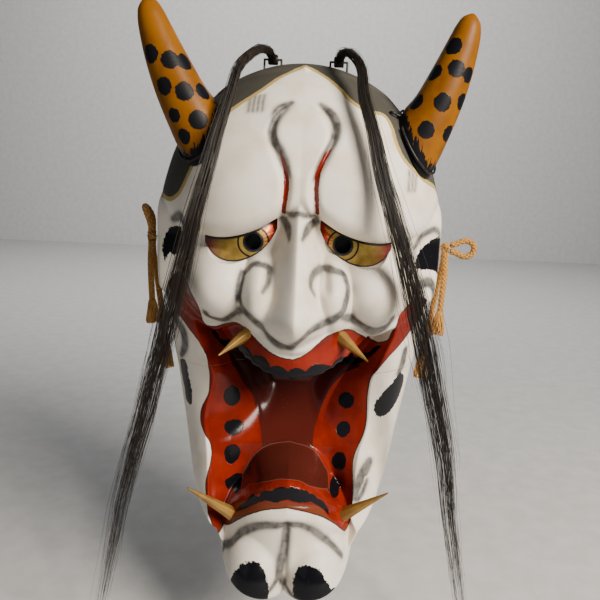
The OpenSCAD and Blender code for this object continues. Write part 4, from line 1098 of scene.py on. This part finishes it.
TONGUE_TOP = [
    (-22, 83.5), (-22.5, 87), (-20, 91.5), (-15.5, 97.5), (-11, 101), (-4, 103.5), (2.5, 103.5),
    (10.5, 101.5), (15.5, 98.5), (19.5, 94), (23.5, 87), (24, 83.5)]
GUM_TOP = [(24, 83.5), (12.5, 90), (5, 93.5), (-2.5, 94), (-10.5, 90.5), (-17, 86), (-22, 83.5)]
TEETH_TOP = [
    [(-35, 180), (-33.5, 180), (-32.5, 178), (-32.5, 175.5)],
    [(-32.5, 175.5), (-30, 173.5), (-27, 173), (-24, 174), (-18.5, 175), (-16.5, 174), (-16, 172.5)],
    [(-16, 172.5), (-14.5, 173.5), (-12.5, 174.5), (-10.5, 175), (-9, 173.5), (-8.5, 171.5)],
    [(-8.5, 171.5), (-7, 173.5), (-5.5, 175), (-4, 175), (-2.5, 173.5), (-1.5, 172)],
    [(-1.5, 172), (-1, 174), (0.5, 175.5), (2, 175.5), (3.5, 174), (5, 172)],
    [(5, 172), (6, 174), (8, 174.5), (10.5, 173), (15.5, 170)],
    [(15.5, 170), (16, 171.5), (18.5, 172), (22, 171.5), (25.5, 170), (28, 167.5), (30, 167)],
    [(30, 167), (30.5, 169), (31.5, 170.5), (33.5, 172)],
    [(33.5, 172), (34, 174), (35, 176), (37.5, 177)],
]
# The black teeth band runs down to the gum's lower edge, over a strip of the throat wall where it is painted
# shade.
TEETH_LOW = [
    (37.5, 177), (34.5, 170), (32.5, 166.5), (29.5, 163.5), (25, 162), (7.5, 161), (-3, 160.5), (-12, 162),
    (-21, 165), (-28, 168), (-31, 170), (-33, 174), (-35, 180)]
THROAT = [
    [(-33.5, 173.5), (-31, 168.5), (-30, 159.5), (-24, 143.5), (-19, 135.5), (-16.5, 125.5), (-13.5, 108),
     (-13, 97.5)],
    [(-13, 97.5), (-3.5, 100.5), (6.5, 100), (13.5, 98)],
    [(13.5, 98), (12.5, 105), (14.5, 124), (20, 143), (25, 152), (32.5, 165.5)],
    [(32.5, 165.5), (25, 163), (7.5, 163), (-7, 163), (-17, 165.5), (-31, 170.5), (-33.5, 173.5)],
]
BAND_TOP = [
    [(-24.5, 75), (-23, 78), (-20.5, 80.5), (-18.5, 82)],
    [(-18.5, 82), (-17.5, 83.5), (-15, 85.5), (-12.5, 84)],
    [(-12.5, 84), (-11.5, 87.5), (-9.5, 89), (-7, 89)],
    [(-7, 89), (-5, 91.5), (-2.5, 92.5), (0, 91)],
    [(0, 91), (2.5, 92.5), (4.5, 92), (6, 90.5)],
    [(6, 90.5), (8, 91), (10, 90), (11.5, 88)],
    [(11.5, 88), (13, 88), (15, 86.5), (16, 84.5)],
    [(16, 84.5), (19, 83.5), (22, 80), (25, 74)],
]
BAND_LOW = [
    [(25, 74), (19.5, 77.5), (16, 80), (13, 82)],
    [(13, 82), (8, 81), (4, 81.5), (0.5, 82.5)],
    [(0.5, 82.5), (-2.5, 82), (-4.5, 80.5), (-7, 81), (-10, 82)],
    [(-10, 82), (-11.5, 80.5), (-13, 80.5)],
    [(-13, 80.5), (-14, 79), (-15.5, 78.5)],
    [(-15.5, 78.5), (-19.5, 76.5), (-24.5, 75)],
]
BROWN_LOW = [
    [(-41, 44), (-24.5, 74.5), (-16, 77.5), (-10, 81), (-2.5, 81.5), (8, 80), (16.5, 79), (22.5, 75),
     (28.5, 69.5)],
    [(28.5, 69.5), (31, 62), (28.5, 68), (21.5, 72.5), (13.5, 75.5), (-4, 77), (-11, 75.5), (-19, 73),
     (-29, 64), (-41, 44)],
]

# %% [markdown]
# Both shells get the same set of notes, so that one material can serve both and the paint runs across the
# joint.

# %% Paint notes
OVER_TOP = [TRIM_RIGHT[-1], (90, FACE_H + 4), (-90, FACE_H + 4), TRIM_LEFT[-1]]
CROWN = outline_of([TRIM_LEFT[::-1], TRIM_RIGHT, OVER_TOP])
PATCHES = {
    "mouth": [[MOUTH_LEFT, MOUTH_LOW, MOUTH_RIGHT, LIP_EDGE]],
    "teeth": [[*TEETH_TOP, TEETH_LOW]],
    "throat": [THROAT],
    "tongue": [[TONGUE_TOP, GUM_TOP]],
    "gumline": [[*BAND_TOP, *BAND_LOW]],
    "brown": [BROWN_LOW],
    "black": [closed(p) for p in BLACK_PATCHES],
    "dots": [closed(p) for p in DOTS],
}
TRIM_W = 3.4
TRIMS = [tapered((TRIM_W,), *line) for line in (TRIM_LEFT, TRIM_RIGHT)]
STROKES = {"grey": GREY_STROKES, "red": RED_STROKES, "trim": TRIMS}


def paint(piece, spots):
    co = vertices_of(piece)
    which, away = nearest(spots, co)
    turn, row = spots[which].T
    front = away < SKIN_REACH
    for name, strokes in STROKES.items():
        values = np.full(len(co), FAR)
        values[front] = stroke_distance(co[front], strokes)
        note(piece, name, values)
    for name, patches in PATCHES.items():
        values = np.full(len(co), FAR)
        values[front] = patch_distance(co[front], turn[front], row[front], patches)
        note(piece, name, values)
    note(piece, "crown", np.where(front & inside(turn, row, CROWN), -1.0, 1.0))
    note(piece, "row", row)
    note(piece, "turn", turn)
    print(piece.name, "painted vertices:", int(front.sum()))


paint(upper_face, upper_spots)
paint(lower_jaw, lower_spots)

# %% [markdown]
# ## Tools for finishes
# A finish is a node tree. Short helpers add a node, mix two colours and do arithmetic. Effects that
# several finishes share are node groups: one gives a brushed edge from a distance, one gives the
# unevenness of old lacquer.

# %% Node helpers


def put(tree, socket, value):
    if isinstance(value, bpy.types.NodeSocket):
        tree.links.new(value, socket)
    else:
        socket.default_value = value


def node(tree, kind, inputs=(), **settings):
    made = tree.nodes.new(kind)
    for key, value in settings.items():
        setattr(made, key, value)
    for key, value in dict(inputs).items():
        put(tree, made.inputs[key], value)
    return made


def number(tree, operation, *values):
    made = node(tree, "ShaderNodeMath", operation=operation)
    for socket, value in zip(made.inputs, values):
        put(tree, socket, value)
    return made.outputs[0]


def plus(tree, value, other, share):
    """A value with a share of another added."""
    return number(tree, "ADD", value, number(tree, "MULTIPLY", other, share))


MIX_MASK, MIX_BELOW, MIX_ABOVE, MIX_RESULT = 0, 6, 7, 2


def over(tree, mask, below, above):
    """One colour laid over another where the mask is 1."""
    made = node(tree, "ShaderNodeMix", data_type="RGBA")
    for index, value in ((MIX_MASK, mask), (MIX_BELOW, below), (MIX_ABOVE, above)):
        put(tree, made.inputs[index], (*value, 1) if isinstance(value, tuple) else value)
    return made.outputs[MIX_RESULT]


def between(tree, value, low, high, to_low=0.0, to_high=1.0):
    """A smooth step of a value from low to high."""
    ends = {"Value": value, "From Min": low, "From Max": high, "To Min": to_low, "To Max": to_high}
    return node(tree, "ShaderNodeMapRange", ends, interpolation_type="SMOOTHSTEP").outputs[0]


def own_space(tree):
    return node(tree, "ShaderNodeTexCoord").outputs["Object"]


def grain(tree, scale, detail=4.0, stretch=(1, 1, 1)):
    """Noise in the piece's own space, in features per metre."""
    where = node(tree, "ShaderNodeMapping", {"Vector": own_space(tree), "Scale": stretch}).outputs[0]
    look = {"Vector": where, "Scale": scale, "Detail": detail, "Roughness": 0.55}
    return node(tree, "ShaderNodeTexNoise", look).outputs["Fac"]


def group(name, inputs, outputs):
    """An empty node group with named number sockets."""
    tree = bpy.data.node_groups.new(name, "ShaderNodeTree")
    for socket, default in inputs.items():
        made = tree.interface.new_socket(name=socket, in_out="INPUT", socket_type="NodeSocketFloat")
        made.default_value = default
    for socket in outputs:
        tree.interface.new_socket(name=socket, in_out="OUTPUT", socket_type="NodeSocketFloat")
    return tree, node(tree, "NodeGroupInput").outputs, node(tree, "NodeGroupOutput").inputs


# %% Shared effects
EDGE_INPUTS = {"Distance": 0, "Softness": 0.5, "Ragged": 0.5, "Scale": 600}
RAGGED_REACH, SMALL_SCALE, PIT_SCALE = 3.0, 14.0, 5.0
brushed, inp, out = group("brushed_edge", EDGE_INPUTS, ["Mask"])
look = {"Vector": own_space(brushed), "Scale": inp["Scale"], "Detail": 3}
noise = node(brushed, "ShaderNodeTexNoise", look)
swing = number(brushed, "SUBTRACT", noise.outputs["Fac"], 0.5)
wander = number(brushed, "MULTIPLY", swing, number(brushed, "MULTIPLY", inp["Ragged"], RAGGED_REACH))
moved = number(brushed, "ADD", inp["Distance"], wander)
low = number(brushed, "MULTIPLY", inp["Softness"], -1.0)
brushed.links.new(between(brushed, moved, low, inp["Softness"], 1.0, 0.0), out["Mask"])

aged, inp, out = group("aged_lacquer", {"Scale": 60}, ["Mottle", "Wear", "Height"])
space = own_space(aged)
small_scale = number(aged, "MULTIPLY", inp["Scale"], SMALL_SCALE)
pit_scale = number(aged, "MULTIPLY", inp["Scale"], PIT_SCALE)
broad = node(aged, "ShaderNodeTexNoise", {"Vector": space, "Scale": inp["Scale"], "Detail": 5}).outputs["Fac"]
small = node(aged, "ShaderNodeTexNoise", {"Vector": space, "Scale": small_scale, "Detail": 4}).outputs["Fac"]
pits = node(aged, "ShaderNodeTexVoronoi", {"Vector": space, "Scale": pit_scale}).outputs["Distance"]
aged.links.new(broad, out["Mottle"])
aged.links.new(between(aged, pits, 0.02, 0.09, 1.0, 0.0), out["Wear"])
aged.links.new(plus(aged, number(aged, "MULTIPLY", broad, 0.6), small, 0.25), out["Height"])


def placed(tree, made, **inputs):
    """A shared effect placed in a finish, with its own values."""
    box = node(tree, "ShaderNodeGroup", node_tree=made)
    for key, value in inputs.items():
        put(tree, box.inputs[key], value)
    return box.outputs


def noted(tree, name):
    return node(tree, "ShaderNodeAttribute", attribute_name=name).outputs["Fac"]


def edge_mask(tree, name, softness=0.3, ragged=0.3, scale=600.0, inset=0.0):
    """A brushed mask from a note on the vertices."""
    distance = noted(tree, name) if inset == 0 else number(tree, "ADD", noted(tree, name), inset)
    return placed(tree, brushed, Distance=distance, Softness=softness, Ragged=ragged, Scale=scale)["Mask"]


def finish(name):
    """A new material, its node tree and its shader."""
    material = bpy.data.materials.new(name)
    material.use_nodes = True
    tree = material.node_tree
    return material, tree, tree.nodes["Principled BSDF"]


def bump(tree, shader, height, strength, distance):
    made = node(tree, "ShaderNodeBump", {"Height": height, "Strength": strength, "Distance": distance})
    tree.links.new(made.outputs[0], shader.inputs["Normal"])


def dress(material, *pieces):
    for piece in pieces:
        piece.data.materials.clear()
        piece.data.materials.append(material)


# %% [markdown]
# ## Painted lacquer
# The face is chalk white with soft grey brush lines, a taupe crown behind a gold line, a glossy orange-red
# mouth with a dark throat, and black dabs. The colours are laid over each other one by one, as with
# a brush. The hollow behind takes the same white, because the photograph doesn't show it.

# %% Painted face
WHITE, WARM, WORN = (0.80, 0.74, 0.655), (0.71, 0.63, 0.52), (0.30, 0.26, 0.2)
GREY, INK, TONGUE_RIM = (0.045, 0.044, 0.046), (0.005, 0.005, 0.007), (0.20, 0.085, 0.07)
TAUPE, PALE_TAUPE, GOLD_LINE = (0.044, 0.041, 0.034), (0.068, 0.063, 0.053), (0.42, 0.31, 0.11)
RED, DEEP_RED, BROWN = (0.22, 0.014, 0.004), (0.15, 0.008, 0.003), (0.15, 0.036, 0.016)
MAROON, SHADED_MAROON, TONGUE_BROWN = (0.065, 0.010, 0.007), (0.028, 0.005, 0.005), (0.065, 0.012, 0.008)
face_paint, tree, shader = finish("painted_lacquer")
age = placed(tree, aged, Scale=45.0)
colour = over(tree, between(tree, age["Mottle"], 0.42, 0.68), WHITE, WARM)
halo = edge_mask(tree, "grey", 3.2, 0.2, 300.0, -1.6)
colour = over(tree, number(tree, "MULTIPLY", halo, 0.36), colour, GREY)
streak = between(tree, grain(tree, 170.0, 4.0), 0.30, 0.65, 0.95, 0.70)
grey_mask = number(tree, "MULTIPLY", edge_mask(tree, "grey", 1.5, 0.2, 400.0, -0.5), streak)
colour = over(tree, grey_mask, colour, GREY)
red_line = edge_mask(tree, "red", 0.45, 0.5, 500.0)
colour = over(tree, red_line, colour, DEEP_RED)
crown_mask = edge_mask(tree, "crown", 0.1, 0.0)
colour = over(tree, crown_mask, colour, over(tree, age["Mottle"], TAUPE, PALE_TAUPE))
trim_mask = edge_mask(tree, "trim", 0.35, 0.35, 400.0)
colour = over(tree, trim_mask, colour, GOLD_LINE)
mouth_mask = edge_mask(tree, "mouth", 0.2, 0.12)
red = over(tree, between(tree, grain(tree, 55.0), 0.35, 0.7), RED, DEEP_RED)
throat_mask = edge_mask(tree, "throat", 0.5, 0.2)
# The throat darkens towards the upper teeth: painted shade under the upper lip, laid over the maroon paint.
dim = between(tree, noted(tree, "row"), 112.0, 165.0)
red = over(tree, throat_mask, red, over(tree, dim, MAROON, SHADED_MAROON))
red = over(tree, edge_mask(tree, "brown", 0.4, 0.3), red, BROWN)
red = over(tree, edge_mask(tree, "tongue", 0.3, 0.1), red, TONGUE_BROWN)
tongue_line = number(tree, "ABSOLUTE", noted(tree, "tongue"))
red = over(tree, between(tree, tongue_line, 0.2, 0.7, 0.5, 0.0), red, TONGUE_RIM)
# Black teeth, which are partly painted shade below the upper teeth, and the black gum band.
teeth_and_shade_mask = edge_mask(tree, "teeth", 0.25, 0.2)
band_mask = number(tree, "MAXIMUM", teeth_and_shade_mask, edge_mask(tree, "gumline", 0.25, 0.2))
dot_mask = edge_mask(tree, "dots", 0.25, 0.5, 350.0)
red = over(tree, number(tree, "MAXIMUM", band_mask, dot_mask), red, INK)
colour = over(tree, mouth_mask, colour, red)
mouth_line = number(tree, "ABSOLUTE", noted(tree, "mouth"))
colour = over(tree, between(tree, mouth_line, 0.3, 0.75, 0.9, 0.0), colour, INK)
black_mask = edge_mask(tree, "black", 0.35, 1.6, 500.0)
colour = over(tree, black_mask, colour, INK)
colour = over(tree, number(tree, "MULTIPLY", age["Wear"], 0.25), colour, WORN)
tree.links.new(colour, shader.inputs["Base Color"])
gloss = number(tree, "MAXIMUM", number(tree, "MAXIMUM", mouth_mask, black_mask), red_line)
rough = between(tree, gloss, 0.0, 1.0, 0.38, 0.13)
rough = plus(tree, plus(tree, rough, age["Mottle"], 0.12), crown_mask, 0.2)
tree.links.new(rough, shader.inputs["Roughness"])
shader.inputs["Specular IOR Level"].default_value = 0.2
height = plus(tree, number(tree, "MULTIPLY", age["Height"], 0.35), dot_mask, 1.6)
bump(tree, shader, plus(tree, height, band_mask, 0.7), 0.5, 0.0006)
dress(face_paint, upper_face, lower_jaw)
print("painted lacquer nodes:", len(tree.nodes))

# %% [markdown]
# ## Gilt eyes
# The plates are gilded and then painted: a black pupil, a thin black ring round the iris, red brushed from
# both corners and a dark line along the brow and the lid. Along the brow, that line is both a black outline
# and a painted shadow of the brow. The gold darkens towards the outer corner as painted shade.

# %% Eyes
GILT, DULL_GILT, SHADED_GILT = (0.42, 0.285, 0.060), (0.25, 0.160, 0.030), (0.10, 0.060, 0.014)
OUTER_RED, INNER_RED, IRIS_R = (0.10, 0.010, 0.008), (0.36, 0.018, 0.006), 10.6
gilt, tree, shader = finish("gilt_eye")
age = placed(tree, aged, Scale=120.0)
colour = over(tree, between(tree, age["Mottle"], 0.35, 0.7), GILT, DULL_GILT)
uneven = number(tree, "SUBTRACT", grain(tree, 300.0, 3.0), 0.5)
corner = plus(tree, noted(tree, "across"), uneven, 0.25)
# The gold darkens towards the outer corner: painted shade.
colour = over(tree, between(tree, corner, 0.40, 0.85, 0.0, 0.65), colour, SHADED_GILT)
outer = between(tree, corner, 0.70, 0.95)
colour = over(tree, outer, colour, OUTER_RED)
rays = number(tree, "SINE", number(tree, "MULTIPLY", noted(tree, "ray"), 0.42))
fan = plus(tree, corner, rays, 0.05)
colour = over(tree, between(tree, fan, 0.10, 0.17, 1.0, 0.0), colour, INNER_RED)
pupil = noted(tree, "pupil")
iris = number(tree, "ABSOLUTE", number(tree, "SUBTRACT", pupil, IRIS_R))
colour = over(tree, between(tree, iris, 0.45, 0.8, 1.0, 0.0), colour, INK)
disc = between(tree, plus(tree, pupil, grain(tree, 500.0), 0.6), 7.4, 7.9, 1.0, 0.0)
colour = over(tree, disc, colour, INK)
# A dark line along the lid, and along the brow a line that is both a black outline and a painted shadow of
# the brow.
brow_shadow_and_lid_line = number(tree, "MAXIMUM", between(tree, noted(tree, "brow_rim"), 1.5, 2.1, 1.0, 0.0),
              between(tree, noted(tree, "lid_rim"), 1.0, 1.6, 1.0, 0.0))
colour = over(tree, brow_shadow_and_lid_line, colour, INK)
tree.links.new(colour, shader.inputs["Base Color"])
dark = number(tree, "MAXIMUM", number(tree, "MAXIMUM", disc, brow_shadow_and_lid_line), outer)
tree.links.new(between(tree, dark, 0.0, 1.0, 0.55, 0.0), shader.inputs["Metallic"])
tree.links.new(between(tree, age["Mottle"], 0.2, 0.8, 0.22, 0.42), shader.inputs["Roughness"])
bump(tree, shader, age["Height"], 0.35, 0.0004)
dress(gilt, *eyes.values())

# %% [markdown]
# ## Horns and fangs
# The horns are ochre lacquer with darker patches and dabbed black spots. The fangs are gilded brown over wood
# grain.

# %% Horn and fang finishes
OCHRE, DULL_OCHRE, DARK_OCHRE = (0.23, 0.084, 0.003), (0.16, 0.054, 0.003), (0.11, 0.038, 0.004)
FOOT_H, FOOT_RAGGED = 12.0, 18.0
ochre, tree, shader = finish("spotted_ochre")
age = placed(tree, aged, Scale=50.0)
colour = over(tree, between(tree, age["Mottle"], 0.35, 0.7), OCHRE, DULL_OCHRE)
patchy = between(tree, grain(tree, 90.0, 6.0, (1, 1, 0.25)), 0.5, 0.75, 0.0, 0.45)
colour = over(tree, patchy, colour, DARK_OCHRE)
dabs = edge_mask(tree, "spot", 0.3, 0.9, 420.0)
bristles = number(tree, "SUBTRACT", grain(tree, 520.0, 2.0, (1, 1, 0.14)), 0.5)
feather = plus(tree, number(tree, "SUBTRACT", noted(tree, "foot"), FOOT_H), bristles, FOOT_RAGGED)
foot = between(tree, feather, -0.6, 0.6, 1.0, 0.0)
marks = number(tree, "MAXIMUM", dabs, foot)
colour = over(tree, marks, colour, INK)
tree.links.new(colour, shader.inputs["Base Color"])
tree.links.new(between(tree, age["Mottle"], 0.2, 0.8, 0.30, 0.5), shader.inputs["Roughness"])
shader.inputs["Specular IOR Level"].default_value = 0.14
bump(tree, shader, plus(tree, age["Height"], marks, 0.3), 0.5, 0.0006)
dress(ochre, *horns.values())

FANG_GOLD, FANG_BROWN, FANG_PORE = (0.33, 0.182, 0.038), (0.22, 0.110, 0.022), (0.10, 0.05, 0.012)
fang_gilt, tree, shader = finish("gilt_brown_wood")
rings = grain(tree, 90.0, 5.0)
colour = over(tree, between(tree, rings, 0.35, 0.65), FANG_GOLD, FANG_BROWN)
colour = over(tree, between(tree, grain(tree, 700.0, 3.0), 0.6, 0.75, 0.0, 0.6), colour, FANG_PORE)
tree.links.new(colour, shader.inputs["Base Color"])
shader.inputs["Metallic"].default_value = 0.35
tree.links.new(between(tree, rings, 0.3, 0.7, 0.34, 0.5), shader.inputs["Roughness"])
bump(tree, shader, rings, 0.3, 0.0004)
dress(fang_gilt, *fang_pieces)

# %% [markdown]
# ## Hair, cords and small parts
# Hair is nearly black with brown in it. The cords are golden silk. The small parts that hold things
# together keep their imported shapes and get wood, wire and thread finishes.

# %% Soft finishes


def plain_finish(name, dark_tone, light_tone, scale, roughness, stretch=(1, 1, 1), metallic=0.0, sheen=0.0):
    """A finish that varies between two tones, with a fine bump."""
    material, tree, shader = finish(name)
    wave = grain(tree, scale, 4.0, stretch)
    colour = over(tree, between(tree, wave, 0.3, 0.7), dark_tone, light_tone)
    tree.links.new(colour, shader.inputs["Base Color"])
    rough = between(tree, wave, 0.2, 0.8, roughness - 0.08, roughness + 0.08)
    tree.links.new(rough, shader.inputs["Roughness"])
    shader.inputs["Metallic"].default_value = metallic
    shader.inputs["Sheen Weight"].default_value = sheen
    bump(tree, shader, wave, 0.4, 0.0003)
    return material


hair_finish = plain_finish("black_hair", (0.007, 0.005, 0.004), (0.026, 0.017, 0.012), 300.0, 0.46,
                           (1, 1, 0.1))
silk = plain_finish("golden_braid", (0.29, 0.125, 0.016), (0.47, 0.235, 0.036), 700.0, 0.6, sheen=0.15)
fringe = plain_finish("golden_fringe", (0.32, 0.135, 0.016), (0.52, 0.26, 0.042), 900.0, 0.62, (1, 1, 0.3),
                      sheen=0.15)
iron = plain_finish("black_wire", (0.008, 0.008, 0.008), (0.03, 0.028, 0.026), 500.0, 0.45, metallic=0.5)
staple_iron = plain_finish("staple_wire", (0.018, 0.017, 0.016), (0.06, 0.056, 0.052), 400.0, 0.5,
                           metallic=0.7)
thread = plain_finish("pale_thread", (0.45, 0.36, 0.22), (0.62, 0.53, 0.36), 900.0, 0.75)
dowel = plain_finish("dowel_wood", (0.30, 0.19, 0.09), (0.46, 0.32, 0.17), 140.0, 0.65, (4, 4, 0.6))
dress(hair_finish, *hair_pieces, *root_pieces)
dress(silk, *(piece for piece, *_ in cord_pieces), *knot_pieces.values())
dress(fringe, *tassel_pieces.values())
dress(iron, *wire_pieces)
for word in SIDES:
    dress(staple_iron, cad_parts[f"{word}_hair_staple"])
    dress(thread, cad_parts[f"{word}_tie_thread"])
    dress(dowel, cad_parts[f"{word}_horn_dowel"])
dress(dowel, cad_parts["jaw_dowels"])
print("materials:", len(bpy.data.materials))

# %% [markdown]
# ## Floor and light
# The mask hangs over a plain pale floor, in front of a far pale backdrop with a light of its own. One warm
# light stands in front to the right and throws the left of the nose into shade, as in the photograph. A
# weak cool light and a dim sky open the shadows.

# %% Stage
SHEET_SIZE, FLOOR_Z, BACKDROP_Y, BACKDROP_Z = 6, -0.452, 3.2, 2


def sheet(name, turn, spot, *tones):
    """A flat plain sheet of the stage."""
    bm = bmesh.new()
    bmesh.ops.create_grid(bm, x_segments=8, y_segments=8, size=SHEET_SIZE)
    bmesh.ops.rotate(bm, verts=bm.verts[:], matrix=Matrix.Rotation(turn, 3, "X"))
    bmesh.ops.translate(bm, verts=bm.verts[:], vec=spot)
    mesh = mesh_from(bm, name)
    linked(name, mesh)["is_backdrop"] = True
    mesh.materials.append(plain_finish(name, *tones, 40.0, 0.85))


sheet("pale_floor", 0, (0, 0, FLOOR_Z), (0.52, 0.52, 0.52), (0.58, 0.58, 0.585))
sheet("pale_backdrop", math.pi / 2, (0, BACKDROP_Y, BACKDROP_Z), (0.58, 0.58, 0.58), (0.64, 0.64, 0.645))


def softbox(name, spot, aim, size, power, tint):
    lamp = bpy.data.lights.new(name, "AREA")
    lamp.size, lamp.energy, lamp.color = size, power, tint
    box = linked(name, lamp)
    box.location = spot
    box.rotation_euler = (Vector(aim) - Vector(spot)).to_track_quat("-Z", "Y").to_euler()


softbox("key_light", (0.8, -0.85, 0.5), (0, -0.05, -0.15), 0.55, 42, (1.0, 0.92, 0.80))
softbox("cool_fill", (-0.9, -0.7, 0.1), (0, -0.05, -0.2), 0.8, 0.9, (0.8, 0.89, 1.0))
softbox("backdrop_light", (0, 1.4, 1.6), (0, BACKDROP_Y, 0.2), 2.0, 60, (1.0, 0.99, 0.97))
world = bpy.data.worlds.new("dim_sky")
world.use_nodes = True
sky = world.node_tree.nodes["Background"]
sky.inputs["Color"].default_value = (0.9, 0.94, 1.0, 1)
sky.inputs["Strength"].default_value = 0.07
bpy.context.scene.world = world

# %% Finish
size = {"cad": [list(p) for p in CAD_BOX], "visual": [list(p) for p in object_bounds()]}
